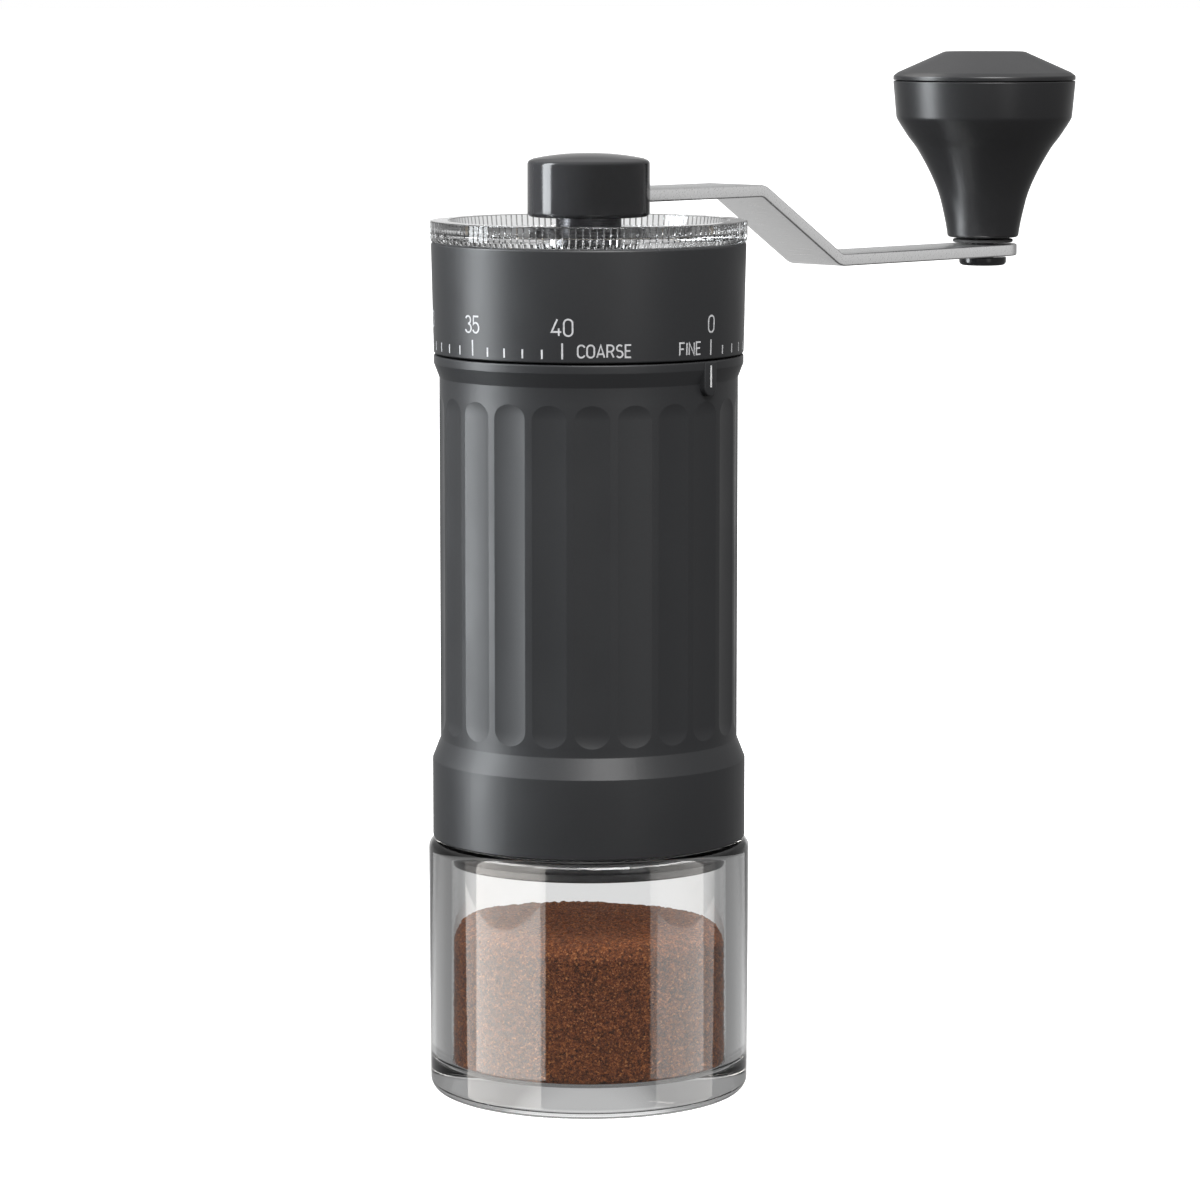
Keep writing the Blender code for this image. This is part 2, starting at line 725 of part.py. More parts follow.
def make_arm():
    """A bent strip of steel with round ends, high over the lid and low under the knob."""
    half = ARM_THICKNESS / 2
    high, low = ARM_HIGH_TOP - half, ARM_LOW_TOP - half
    corners = [(-10.0, high), (ARM_BENDS_X[0], high), (ARM_BENDS_X[1], low), (CRANK_REACH + 10.0, low)]
    middle = fillet(corners, ARM_BEND_R, 4)
    outline = offset(middle, half) + offset(middle, -half)[::-1]
    data = bpy.data.curves.new("crank_arm", "CURVE")
    data.dimensions = "2D"
    data.fill_mode = "BOTH"
    data.extrude = ARM_HALF_WIDTH * 1.5 * MM
    spline = data.splines.new("POLY")
    spline.points.add(len(outline) - 1)
    for point, (x, z) in zip(spline.points, outline):
        point.co = (x * MM, z * MM, 0.0, 1.0)
    spline.use_cyclic_u = True
    strip = bpy.data.objects.new("crank_arm_strip", data)
    strip.rotation_euler.x = math.pi / 2
    arm = solid_of(strip, "crank_arm", brushed_steel())

    plan = prism("arm_plan", ARM_HALF_WIDTH, 130.0, 160.0, MIDDLE)
    across = ARM_HALF_WIDTH
    join(plan, prism("arm_plan_end", across, 130.0, 160.0, MIDDLE, x=CRANK_REACH))
    join(plan, box("arm_plan_middle", (0.0, -across, 130.0), (CRANK_REACH, across, 160.0)))
    combine(arm, "INTERSECT", plan)
    cut(arm, prism("hub_screw_hole", 2.0, 140.0, 160.0, SMALL))
    cut(arm, prism("knob_pin_hole", 2.4, 130.0, 142.0, SMALL, x=CRANK_REACH))


def make_crank_hub():
    """The socket that drops over the shaft's hexagon, its screw, and the cap over them."""
    low, high = SOCKET_FLANGE_Z
    outline = [
        (SOCKET_FLANGE_R, high),
        (SOCKET_FLANGE_R, low),
        (SOCKET_R, low),
        (SOCKET_R, LID_CLIP_GROOVE[1]),
        (LID_CLIP_GROOVE_R, LID_CLIP_GROOVE[1]),
        (LID_CLIP_GROOVE_R, LID_CLIP_GROOVE[0]),
        (SOCKET_R, LID_CLIP_GROOVE[0]),
        (SOCKET_R, SOCKET_BOTTOM),
        (SCREW_R + GAP, SOCKET_BOTTOM),
        (SCREW_R + GAP, high),
    ]
    socket = turned("hub_socket", outline, steel())
    cut(socket, prism("socket_hexagon", HEX_R + GAP * 1.2, SOCKET_BOTTOM - 1.0, SHAFT_TOP + GAP, 6))
    clip = tube("lid_clip", LID_CLIP_GROOVE_R + GAP, 7.2, *LID_CLIP_Z, steel(), SMALL)
    low, high = LID_CLIP_Z
    cut(clip, box("lid_clip_opening", (2.0, -2.0, low - 1.0), (9.0, 2.0, high + 1.0)))

    tip, seat, top = SCREW_Z
    screw = [
        (0.0, top),
        (SCREW_HEAD_R - 0.6, top),
        (SCREW_HEAD_R, top - 0.6),
        (SCREW_HEAD_R, seat),
        (SCREW_R, seat),
        (SCREW_R, tip),
        (0.0, tip),
    ]
    turned("hub_screw", screw, steel(), SMALL, ring=False)

    dome = [
        (0.0, CAP_Z[1]),
        (CAP_R * 0.5, CAP_Z[1] - 0.25),
        (CAP_R - 1.2, CAP_EDGE_TOP + 0.2),
        (CAP_R - 0.35, CAP_EDGE_TOP - 0.25),
        (CAP_R, CAP_EDGE_TOP - 1.1),
        (CAP_R, CAP_Z[0] + 0.7),
        (CAP_R - 0.7, CAP_Z[0]),
        (CAP_WALL_R, CAP_Z[0]),
        (CAP_WALL_R, CAP_CEILING),
        (0.0, CAP_CEILING),
    ]
    cap = turned("crank_cap", dome, black_gloss(), 30, ring=False)
    side = ARM_HALF_WIDTH + GAP
    slot_low = ARM_HIGH_TOP - ARM_THICKNESS - GAP
    cut(cap, box("cap_slot", (0.0, -side, slot_low), (CAP_R + 2.0, side, ARM_HIGH_TOP + GAP)))


def make_knob_pin():
    """The pin the knob turns on, with its flat head under the arm and a ring at its top."""
    low, seat = PIN_HEAD_Z
    outline = [
        (0.0, PIN_TOP),
        (PIN_R, PIN_TOP),
        (PIN_R, PIN_GROOVE[1]),
        (PIN_GROOVE_R, PIN_GROOVE[1]),
        (PIN_GROOVE_R, PIN_GROOVE[0]),
        (PIN_R, PIN_GROOVE[0]),
        (PIN_R, seat),
        (PIN_HEAD_R, seat),
        (PIN_HEAD_R, low + 0.6),
        (PIN_HEAD_R - 0.6, low),
        (0.0, low),
    ]
    turned("knob_pin", outline, black_satin(), SMALL, CRANK_REACH, ring=False)
    tube("pin_washer", *WASHER_R, *WASHER_Z, black_satin(), SMALL, CRANK_REACH)
    ring = tube("knob_retainer", *RETAINER_R, *RETAINER_Z, steel(), SMALL, CRANK_REACH)
    low, high = RETAINER_Z
    slot = box("retainer_opening", (1.0, -1.3, low - 0.5), (7.0, 1.3, high + 0.5))
    slot.location.x = CRANK_REACH * MM
    cut(ring, slot)


def make_knob():
    outline = [
        (KNOB_R, KNOB_SEAM),
        (KNOB_R, KNOB_SEAM - 4.0),
        (15.95, KNOB_SEAM - 6.0),
        (15.05, KNOB_SEAM - 8.1),
        (12.2, KNOB_SEAM - 12.2),
        (9.85, KNOB_SEAM - 16.3),
        (8.1, KNOB_SEAM - 20.4),
        (7.0, KNOB_SEAM - 24.8),
        (6.5, KNOB_BOTTOM + 0.6),
        (5.9, KNOB_BOTTOM),
        (KNOB_BORE_R, KNOB_BOTTOM),
        (KNOB_BORE_R, KNOB_RECESS_Z),
        (KNOB_RECESS_R, KNOB_RECESS_Z),
        (KNOB_RECESS_R, KNOB_SEAM),
    ]
    turned("knob_body", outline, black_satin(), LARGE, CRANK_REACH)
    lid = [
        (0.0, KNOB_TOP),
        (KNOB_CAP_FLAT_R, KNOB_TOP),
        (KNOB_R - 0.75, KNOB_TOP - 3.7),
        (KNOB_R, KNOB_TOP - 4.5),
        (KNOB_R, KNOB_SEAM + GAP),
        (KNOB_RECESS_R - GAP, KNOB_SEAM + GAP),
        (KNOB_RECESS_R - GAP, KNOB_CAP_BOTTOM),
        (0.0, KNOB_CAP_BOTTOM),
    ]
    turned("knob_cap", lid, black_satin(), LARGE, CRANK_REACH, ring=False)
    bush = [
        (KNOB_BORE_R - GAP, KNOB_RECESS_Z),
        (KNOB_BORE_R - GAP, KNOB_BOTTOM + 0.2),
        (BUSH_BORE_R, KNOB_BOTTOM + 0.2),
        (BUSH_BORE_R, KNOB_RECESS_Z),
    ]
    turned("knob_bush", bush, brass(), SMALL, CRANK_REACH)


# Lid ---------------------------------------------------------------------------------------------


def make_lid():
    clear = material("clear_plastic", (0.93, 0.94, 0.95), 0.05, 0.0, 1.0)
    outline = [
        (LID_R - 0.6, LID_TOP),
        (LID_R, LID_TOP - 0.6),
        (LID_R, LID_BOTTOM + 0.5),
        (LID_R - 0.4, LID_BOTTOM),
        (LID_SKIRT_R[1], LID_BOTTOM),
        (LID_SKIRT_R[1], LID_SKIRT_BOTTOM),
        (LID_SKIRT_R[0], LID_SKIRT_BOTTOM),
        (LID_SKIRT_R[0], LID_DISC_Z[0]),
        (LID_HOLE_R, LID_DISC_Z[0]),
        (LID_HOLE_R, LID_DISC_Z[1]),
        (LID_DISC_R, LID_DISC_Z[1]),
        (LID_DISC_R + 0.5, LID_TOP),
    ]
    turned("lid", outline, clear, LARGE)


def main():
    for old in list(bpy.data.objects):
        bpy.data.objects.remove(old)
    for collection in (PARTS, CUTTERS):
        bpy.context.scene.collection.children.link(collection)
    make_jar()
    make_coffee()
    make_grip_body()
    make_marker()
    make_detent()
    make_dial_clip()
    make_lower_bearing()
    make_ring_burr()
    make_neck_ring()
    make_dial()
    make_carriage()
    make_shaft()
    make_cone_burr()
    make_arm()
    make_crank_hub()
    make_knob_pin()
    make_knob()
    make_lid()


main()
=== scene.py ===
"""The looks of a hand crank coffee grinder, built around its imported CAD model.

Outlines and places are in millimetres and come from the CAD nodes' boxes. A mesh is made in metres.
"""

import json
import math

import bmesh
import bpy
from mathutils import Matrix, Vector, noise


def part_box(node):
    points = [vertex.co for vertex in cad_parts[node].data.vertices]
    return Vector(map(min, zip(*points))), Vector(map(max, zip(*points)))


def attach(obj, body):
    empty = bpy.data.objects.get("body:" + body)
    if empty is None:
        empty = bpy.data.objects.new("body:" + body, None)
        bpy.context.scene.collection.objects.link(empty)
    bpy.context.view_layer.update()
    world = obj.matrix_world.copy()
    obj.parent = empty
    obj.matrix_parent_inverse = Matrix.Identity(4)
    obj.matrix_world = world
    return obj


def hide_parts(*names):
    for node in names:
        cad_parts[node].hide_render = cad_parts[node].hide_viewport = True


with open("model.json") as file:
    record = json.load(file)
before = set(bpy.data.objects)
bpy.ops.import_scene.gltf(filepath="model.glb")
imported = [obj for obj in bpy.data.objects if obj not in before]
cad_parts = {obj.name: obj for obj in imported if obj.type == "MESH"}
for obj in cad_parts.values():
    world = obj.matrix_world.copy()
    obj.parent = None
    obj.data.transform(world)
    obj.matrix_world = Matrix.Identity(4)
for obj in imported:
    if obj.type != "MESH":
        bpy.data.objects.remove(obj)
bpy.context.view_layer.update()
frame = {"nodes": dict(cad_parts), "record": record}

MM = 0.001
TAU = math.tau
TINY = 1e-6
CAMERA_ANGLE = math.radians(225.0)  # the camera's direction from the axis, seen from above


def box_mm(node):
    """Lowest and highest corner of a CAD node in millimetres."""
    low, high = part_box(node)
    return low / MM, high / MM


# Radiances of the studio, relative to white. The backdrop's steps are by the cosine between a direction
# and the one that points straight away from the camera.
BACKDROP_STEPS = (
    (0.0, 0.0),
    (0.45, 0.06),
    (0.62, 0.30),
    (0.78, 0.36),
    (0.9, 0.46),
    (0.925, 0.52),
    (0.95, 0.85),
    (0.97, 1.0),
)
BACKDROP_BELOW = 0.45  # the share of the backdrop's radiance that is left low down, and high up
BACKDROP_ABOVE = 0.5
ROOM = 0.30
ROOM_BELOW = 0.16
CEILING = 0.6
FLOOR_GLOW = 0.95

# Driving dimensions, read from the CAD nodes ------------------------------------------------------

jar_high = box_mm("jar")[1]
JAR_R = jar_high.x
JAR_TOP = jar_high.z
JAR_BASE_R = JAR_R - 0.2
JAR_BORE_R = JAR_R - 3.6
JAR_LEDGE_R = JAR_R - 2.3

coffee_low, coffee_high = box_mm("coffee_grounds")
COFFEE_R = coffee_high.x
COFFEE_FLOOR = coffee_low.z
JAR_FLOOR = COFFEE_FLOOR - 0.3
COFFEE_TOP = coffee_high.z

body_low, body_high = box_mm("grip_body")
BODY_BOTTOM = body_low.z
SPIGOT_TOP = body_high.z
COLLAR_R = 26.45
COLLAR_TOP = BODY_BOTTOM + 13.4
GRIP_R = 25.08
GRIP_BOTTOM = BODY_BOTTOM + 16.9
GRIP_TOP = SPIGOT_TOP - 10.9
FLANGE_R = 26.0
FLANGE_EDGE = SPIGOT_TOP - 8.5
FLANGE_TOP = SPIGOT_TOP - 7.1
SPIGOT_R = 22.0
BURR_BORE_R = 21.0
LEDGE_Z = BODY_BOTTOM + 24.1
HOPPER_R = 19.6
FLUTES = 22
FLUTE_WIDTH = 5.9
FLUTE_DEPTH = 0.3
FLUTE_END = 2.5
FLUTE_ENDS = (GRIP_BOTTOM + 1.5, GRIP_TOP - 2.9)
FLUTE_PHASE = CAMERA_ANGLE + math.radians(1.4)

dial_low, dial_high = box_mm("dial_ring")
DIAL_BOTTOM = dial_low.z
DIAL_TOP = dial_high.z
DIAL_R_TOP = dial_high.x
DIAL_R_BOTTOM = DIAL_R_TOP - 0.45
SCALE_STEP = math.radians(7.5)
SCALE_ZERO = CAMERA_ANGLE + math.radians(50.6)
SCALE_MARKS = 40

lid_high = box_mm("lid")[1]
LID_R = lid_high.x
LID_TOP = lid_high.z
LID_BOTTOM = DIAL_TOP + 0.3
LID_RIBS = 150
LID_COLUMNS = 8  # of mesh, to one rib

cap_low, cap_high = box_mm("crank_cap")
CAP_R = cap_high.x

arm_low, arm_high = box_mm("crank_arm")
ARM_HALF_WIDTH = arm_high.y
ARM_THICKNESS = 2.1
ARM_BENDS_X = (36.5, 56.5)
ARM_BEND_R = 3.2

knob_low, knob_high = box_mm("knob_body")
KNOB_X = (knob_low.x + knob_high.x) / 2
KNOB_R = knob_high.y
knob_top_low, knob_top_high = box_mm("knob_cap")
pin_low, pin_high = box_mm("knob_pin")


# Materials ----------------------------------------------------------------------------------------

CLEAR_IOR = 1.45
GRAINS_PER_M = (2600.0, 4800.0)  # of ground coffee, in two sizes
COFFEE_TONES = (
    (0.05, (0.014, 0.004, 0.001)),
    (0.35, (0.048, 0.014, 0.004)),
    (0.62, (0.095, 0.029, 0.008)),
    (0.82, (0.155, 0.050, 0.014)),
    (1.0, (0.29, 0.12, 0.042)),
)


def new_material(name, colour, roughness, metallic=0.0, **sockets):
    """A Principled material, its shader and its node tree."""
    made = bpy.data.materials.new(name)
    made.use_nodes = True
    tree = made.node_tree
    shader = tree.nodes["Principled BSDF"]
    shader.inputs["Base Color"].default_value = (*colour, 1.0)
    shader.inputs["Roughness"].default_value = roughness
    shader.inputs["Metallic"].default_value = metallic
    for key, value in sockets.items():
        shader.inputs[key.replace("_", " ")].default_value = value
    return made, shader, tree


def object_points(tree, scale=(1.0, 1.0, 1.0)):
    """The object's own coordinates, in metres, stretched by a scale."""
    source = tree.nodes.new("ShaderNodeTexCoord")
    mapping = tree.nodes.new("ShaderNodeMapping")
    mapping.inputs["Scale"].default_value = scale
    tree.links.new(source.outputs["Object"], mapping.inputs["Vector"])
    return mapping.outputs["Vector"]


def noise_of(tree, vector, scale, detail=3.0, roughness=0.55):
    """A noise between 0 and 1, with its scale per metre."""
    node = tree.nodes.new("ShaderNodeTexNoise")
    node.inputs["Scale"].default_value = scale
    node.inputs["Detail"].default_value = detail
    node.inputs["Roughness"].default_value = roughness
    tree.links.new(vector, node.inputs["Vector"])
    return node.outputs["Fac"]


def ranged(tree, value, low, high, from_low=0.3, from_high=0.7):
    """A value from a texture, mapped to a range."""
    node = tree.nodes.new("ShaderNodeMapRange")
    node.inputs["From Min"].default_value = from_low
    node.inputs["From Max"].default_value = from_high
    node.inputs["To Min"].default_value = low
    node.inputs["To Max"].default_value = high
    tree.links.new(value, node.inputs["Value"])
    return node.outputs["Result"]


def colour_ramp(tree, value, stops):
    """A colour from a value, by stops of a position and a colour."""
    node = tree.nodes.new("ShaderNodeValToRGB")
    elements = node.color_ramp.elements
    for element, (position, colour) in zip(elements, (stops[0], stops[-1])):
        element.position = position
        element.color = (*colour, 1.0)
    for position, colour in stops[1:-1]:
        elements.new(position).color = (*colour, 1.0)
    tree.links.new(value, node.inputs["Fac"])
    return node.outputs["Color"]


def add_bump(tree, shader, height, strength, distance_mm):
    bump = tree.nodes.new("ShaderNodeBump")
    bump.inputs["Strength"].default_value = strength
    bump.inputs["Distance"].default_value = distance_mm * MM
    tree.links.new(height, bump.inputs["Height"])
    tree.links.new(bump.outputs["Normal"], shader.inputs["Normal"])


def anodised_material():
    """Matt black anodised aluminium with a fine bead-blasted grain and faint handling marks."""
    made, shader, tree = new_material("anodised_black", (0.02, 0.0205, 0.022), 0.42)
    points = object_points(tree)
    grain = noise_of(tree, points, 9000.0, 2.0)
    cloud = noise_of(tree, points, 60.0, 4.0)
    tree.links.new(ranged(tree, cloud, 0.38, 0.46), shader.inputs["Roughness"])
    tones = ((0.3, (0.0175, 0.018, 0.0195)), (0.7, (0.0225, 0.023, 0.0245)))
    tree.links.new(colour_ramp(tree, grain, tones), shader.inputs["Base Color"])
    add_bump(tree, shader, grain, 0.25, 0.01)
    return made


def moulded_material(name, colour, roughness, spread, grain_scale, grain_depth):
    """Moulded black plastic with a slight grain and uneven gloss."""
    made, shader, tree = new_material(name, colour, roughness)
    points = object_points(tree)
    cloud = noise_of(tree, points, 90.0, 4.0)
    low, high = roughness - spread, roughness + spread
    tree.links.new(ranged(tree, cloud, low, high), shader.inputs["Roughness"])
    add_bump(tree, shader, noise_of(tree, points, grain_scale, 2.0), 0.2, grain_depth)
    return made


def brushed_material(name, colour, roughness, across):
    """Steel brushed in one direction: streaks that are long along it and fine across it."""
    made, shader, tree = new_material(name, colour, roughness, 1.0)
    streaks = noise_of(tree, object_points(tree, across), 1.0, 5.0, 0.65)
    low, high = roughness - 0.08, roughness + 0.10
    tree.links.new(ranged(tree, streaks, low, high), shader.inputs["Roughness"])
    tones = ((0.25, [c * 0.86 for c in colour]), (0.75, [min(c * 1.08, 1.0) for c in colour]))
    tree.links.new(colour_ramp(tree, streaks, tones), shader.inputs["Base Color"])
    add_bump(tree, shader, streaks, 0.15, 0.01)
    return made


def clear_material(name, colour):
    """Clear glass or plastic, with a faint ripple."""
    made, shader, tree = new_material(name, colour, 0.0, Transmission_Weight=1.0, IOR=CLEAR_IOR)
    ripple = noise_of(tree, object_points(tree), 120.0, 1.0)
    add_bump(tree, shader, ripple, 0.05, 0.02)
    return made


def coffee_material():
    """Ground coffee: grains of mixed sizes, from nearly black to orange brown."""
    made, shader, tree = new_material("ground_coffee", (0.1, 0.045, 0.02), 0.8, Specular_IOR_Level=0.15)
    points = object_points(tree)
    picks = []
    for scale in GRAINS_PER_M:
        cells = tree.nodes.new("ShaderNodeTexVoronoi")
        cells.inputs["Scale"].default_value = scale
        tree.links.new(points, cells.inputs["Vector"])
        pick = tree.nodes.new("ShaderNodeSeparateColor")
        tree.links.new(cells.outputs["Color"], pick.inputs["Color"])
        picks.append(pick.outputs["Red"])
    blend = tree.nodes.new("ShaderNodeMix")
    blend.inputs["Factor"].default_value = 0.6
    tree.links.new(picks[0], blend.inputs["A"])
    tree.links.new(picks[1], blend.inputs["B"])
    tone = colour_ramp(tree, blend.outputs["Result"], COFFEE_TONES)
    tree.links.new(tone, shader.inputs["Base Color"])
    add_bump(tree, shader, cells.outputs["Distance"], 0.5, 0.08)
    return made


def print_material(name, colour):
    """Printed ink, a little worn."""
    made, shader, tree = new_material(name, colour, 0.5)
    wear = noise_of(tree, object_points(tree), 1500.0, 3.0)
    tones = ((0.3, [c * 0.75 for c in colour]), (0.6, colour))
    tree.links.new(colour_ramp(tree, wear, tones), shader.inputs["Base Color"])
    return made


def turned_metal(name, colour, roughness):
    """Turned metal, with fine rings left by the tool around the Z axis."""
    return brushed_material(name, colour, roughness, (200.0, 200.0, 9000.0))


ANODISED = anodised_material()
GLOSS = moulded_material("black_gloss", (0.045, 0.045, 0.048), 0.13, 0.03, 500.0, 0.004)
SATIN = moulded_material("black_satin", (0.016, 0.016, 0.017), 0.33, 0.04, 5000.0, 0.008)
STRIP_STEEL = brushed_material("brushed_steel", (0.62, 0.62, 0.62), 0.32, (5000.0, 250.0, 5000.0))
STEEL = turned_metal("machined_steel", (0.55, 0.55, 0.55), 0.28)
DARK_STEEL = turned_metal("dark_steel", (0.10, 0.10, 0.105), 0.3)
BRASS = turned_metal("turned_brass", (0.70, 0.50, 0.25), 0.28)
INNER = turned_metal("inner_aluminium", (0.30, 0.30, 0.31), 0.36)
GLASS = clear_material("clear_glass", (0.99, 0.995, 0.995))
CLEAR = clear_material("clear_plastic", (0.98, 0.985, 0.99))
COFFEE = coffee_material()
INK = print_material("scale_ink", (0.55, 0.55, 0.56))
SILVER_INK = print_material("silver_ink", (0.75, 0.75, 0.75))
RUBBER = moulded_material("silicone", (0.03, 0.03, 0.03), 0.6, 0.05, 2000.0, 0.02)
# The seal is a real piece. Its pale colour is a painted highlight that stands in for the bright ring of
# light seen through the jar's rim.
SEAL_PAINTED_HIGHLIGHT = moulded_material("pale_silicone_painted_highlight", (0.85, 0.85, 0.85), 0.45, 0.05, 2000.0, 0.02)


# Mesh helpers -------------------------------------------------------------------------------------


def finish_piece(piece, material, body, replaced=()):
    piece.data.materials.clear()
    piece.data.materials.append(material)
    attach(piece, body)
    if replaced:
        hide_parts(*replaced)
    return piece


def new_piece(name, vertices, faces, sharp_degrees=30.0):
    """An object from points in millimetres, smooth except at edges sharper than an angle."""
    mesh = bpy.data.meshes.new(name)
    mesh.from_pydata([(x * MM, y * MM, z * MM) for x, y, z in vertices], [], faces)
    mesh.validate()
    mesh.shade_smooth()
    mesh.set_sharp_from_angle(angle=math.radians(sharp_degrees))
    piece = bpy.data.objects.new(name, mesh)
    bpy.context.scene.collection.objects.link(piece)
    return piece


def rounded(outline, closed):
    """An outline of (r, z) or (r, z, fillet radius) points, with its fillets as short chords."""
    count = len(outline)
    path = []
    for i, point in enumerate(outline):
        corner = Vector(point[:2])
        at_end = not closed and i in (0, count - 1)
        if len(point) < 3 or at_end:
            path.append(tuple(corner))
            continue
        a = (Vector(outline[i - 1][:2]) - corner).normalized()
        b = (Vector(outline[(i + 1) % count][:2]) - corner).normalized()
        half = a.angle(b) / 2
        reach = point[2] / math.tan(half)
        centre = corner + (a + b).normalized() * (point[2] / math.sin(half))
        start, end = corner + a * reach - centre, corner + b * reach - centre
        sweep = math.atan2(start.x * end.y - start.y * end.x, start.dot(end))
        steps = max(2, math.ceil(abs(sweep) / math.radians(7.0)))
        for k in range(steps + 1):
            c, s = math.cos(sweep * k / steps), math.sin(sweep * k / steps)
            path.append((centre.x + c * start.x - s * start.y, centre.y + s * start.x + c * start.y))
    return path


def spline(points, steps=5):
    """A smooth curve through points, as a list of points."""
    padded = [2 * Vector(points[0]) - Vector(points[1]), *map(Vector, points)]
    padded.append(2 * Vector(points[-1]) - Vector(points[-2]))
    path = []
    for p0, p1, p2, p3 in zip(padded, padded[1:], padded[2:], padded[3:]):
        for k in range(steps):
            t = k / steps
            path.append(tuple(
                0.5 * (2 * p1 + (p2 - p0) * t + (2 * p0 - 5 * p1 + 4 * p2 - p3) * t**2
                       + (3 * p1 - p0 - 3 * p2 + p3) * t**3)
            ))
    path.append(tuple(points[-1]))
    return path


def revolve(name, path, sides, ring=True, x=0.0, shape=None):
    """Turns a path of (r, z) about the axis at x. A path that isn't a ring has both ends on the axis.

    shape(r, z, angle) gives the radius of a point that isn't plainly round.
    """
    vertices, rows, faces = [], [], []
    for r, z in path:
        if r < TINY:
            rows.append([len(vertices)])
            vertices.append((x, 0.0, z))
            continue
        rows.append(range(len(vertices), len(vertices) + sides))
        for i in range(sides):
            angle = TAU * i / sides
            radius = shape(r, z, angle) if shape else r
            vertices.append((x + radius * math.cos(angle), radius * math.sin(angle), z))
    pairs = list(zip(rows, rows[1:]))
    if ring:
        pairs.append((rows[-1], rows[0]))
    for upper, lower in pairs:
        for i in range(sides):
            j = (i + 1) % sides
            if len(upper) == 1:
                faces.append((upper[0], lower[i], lower[j]))
            elif len(lower) == 1:
                faces.append((upper[i], lower[0], upper[j]))
            else:
                faces.append((upper[i], lower[i], lower[j], upper[j]))
    return new_piece(name, vertices, faces)


def lathe(name, outline, sides=192, ring=True, x=0.0, shape=None):
    return revolve(name, rounded(outline, ring), sides, ring, x, shape)


def loft(name, sections, sharp_degrees=30.0):
    """A closed solid through rings of points that all have the same count, capped at both ends."""
    count = len(sections[0])
    vertices = [point for section in sections for point in section]
    faces = []
    for k in range(len(sections) - 1):
        for i in range(count):
            j = (i + 1) % count
            a, b = k * count, (k + 1) * count
            faces.append((a + i, a + j, b + j, b + i))
    faces.append(tuple(range(count))[::-1])
    last = (len(sections) - 1) * count
    faces.append(tuple(range(last, last + count)))
    return new_piece(name, vertices, faces, sharp_degrees)


# Jar and coffee -----------------------------------------------------------------------------------


def make_jar():
    outline = [
        (0.0, JAR_FLOOR),
        (JAR_BORE_R, JAR_FLOOR, 1.4),
        (JAR_BORE_R, JAR_TOP - 1.0, 0.2),
        (JAR_LEDGE_R, JAR_TOP - 1.0, 0.2),
        (JAR_LEDGE_R, JAR_TOP, 0.4),
        (JAR_R, JAR_TOP, 1.7),
        (JAR_BASE_R, 0.0, 2.2),
        (0.0, 0.0),
    ]
    jar = lathe("jar_glass", outline, ring=False)
    finish_piece(jar, GLASS, "jar", ["jar"])
    seal_low, seal_high = box_mm("jar_seal")
    # The seal ring is a real piece, drawn pale as a painted highlight of the bright ring under the jar's
    # rim.
    inner = seal_high.x - 0.7
    outline = [
        (seal_high.x, seal_high.z, 0.2),
        (seal_high.x, seal_low.z, 0.2),
        (inner, seal_low.z, 0.2),
        (inner, seal_high.z, 0.2),
    ]
    finish_piece(lathe("seal_ring", outline), SEAL_PAINTED_HIGHLIGHT, "jar_seat", ["jar_seal"])


def make_coffee():
    """The heap: a drum with a soft rim, whose skin is roughened at the size of the grains.

    Its top falls toward the back, and a little toward the right, as seen by the camera.
    """
    columns, rise_rows, top_rows, rim_rows, rim = 560, 56, 50, 18, 4.4
    fall, grain = 0.6, 0.2
    back = Vector((-math.cos(CAMERA_ANGLE), -math.sin(CAMERA_ANGLE), 0.0)) / COFFEE_R
    left = Vector((-back.y, back.x, 0.0))
    path = [((COFFEE_R - rim) * k / top_rows, COFFEE_TOP) for k in range(top_rows)]
    for k in range(rim_rows + 1):
        a = math.pi / 2 * k / rim_rows
        path.append((COFFEE_R - rim * (1 - math.sin(a)), COFFEE_TOP - fall * rim * (1 - math.cos(a))))
    high, edge = path[-1][1], 0.8
    rise = high - COFFEE_FLOOR - edge
    path += [(COFFEE_R, high - rise * k / rise_rows) for k in range(1, rise_rows + 1)]
    path += [(COFFEE_R - edge, COFFEE_FLOOR), (0.0, COFFEE_FLOOR)]
    heap = revolve("coffee_heap", path, columns, ring=False)
    skin = [vertex.normal.copy() for vertex in heap.data.vertices]
    for vertex, normal in zip(heap.data.vertices, skin):
        p = vertex.co / MM
        if p.z < COFFEE_FLOOR + 0.5:
            continue
        rough = noise.noise(p * 1.9) + 0.6 * noise.noise(p * 3.7 + Vector((7.0, 1.0, 3.0)))
        rough += noise.noise(p * 0.7 + Vector((2.0, 5.0, 8.0)))
        share = min(max((p.z - COFFEE_TOP + 4.0) / 4.0, 0.0), 1.0)
        swell = 0.35 * noise.noise(p * 0.11 + Vector((3.0, 9.0, 0.0)))
        swell += 0.5 * p.dot(left) - 1.1 * p.dot(back) - 1.0 * p.dot(back) ** 2
        depth = grain * (rough - 1.4) if math.hypot(p.x, p.y) > COFFEE_R - 1.0 else grain * rough
        vertex.co = (p + normal * depth + Vector((0.0, 0.0, swell * share))) * MM
    finish_piece(heap, COFFEE, "jar", ["coffee_grounds"])


# Housing ------------------------------------------------------------------------------------------


def flute_geometry():
    """Cutter radius and its distance from the axis, for a flute of the given width and depth."""
    half = FLUTE_WIDTH / 2
    bulge = GRIP_R - math.sqrt(GRIP_R**2 - half**2)
    depth = FLUTE_DEPTH - bulge
    cutter = (half**2 + depth**2) / (2 * depth)
    return cutter, GRIP_R - FLUTE_DEPTH + cutter


def flute_half_angle(height, cutter, away):
    """Half the angle that a flute takes up, at a height in its round end."""
    c = (away**2 + GRIP_R**2 + height**2 - cutter**2) / (2 * away * GRIP_R)
    return math.acos(min(c, 1.0))


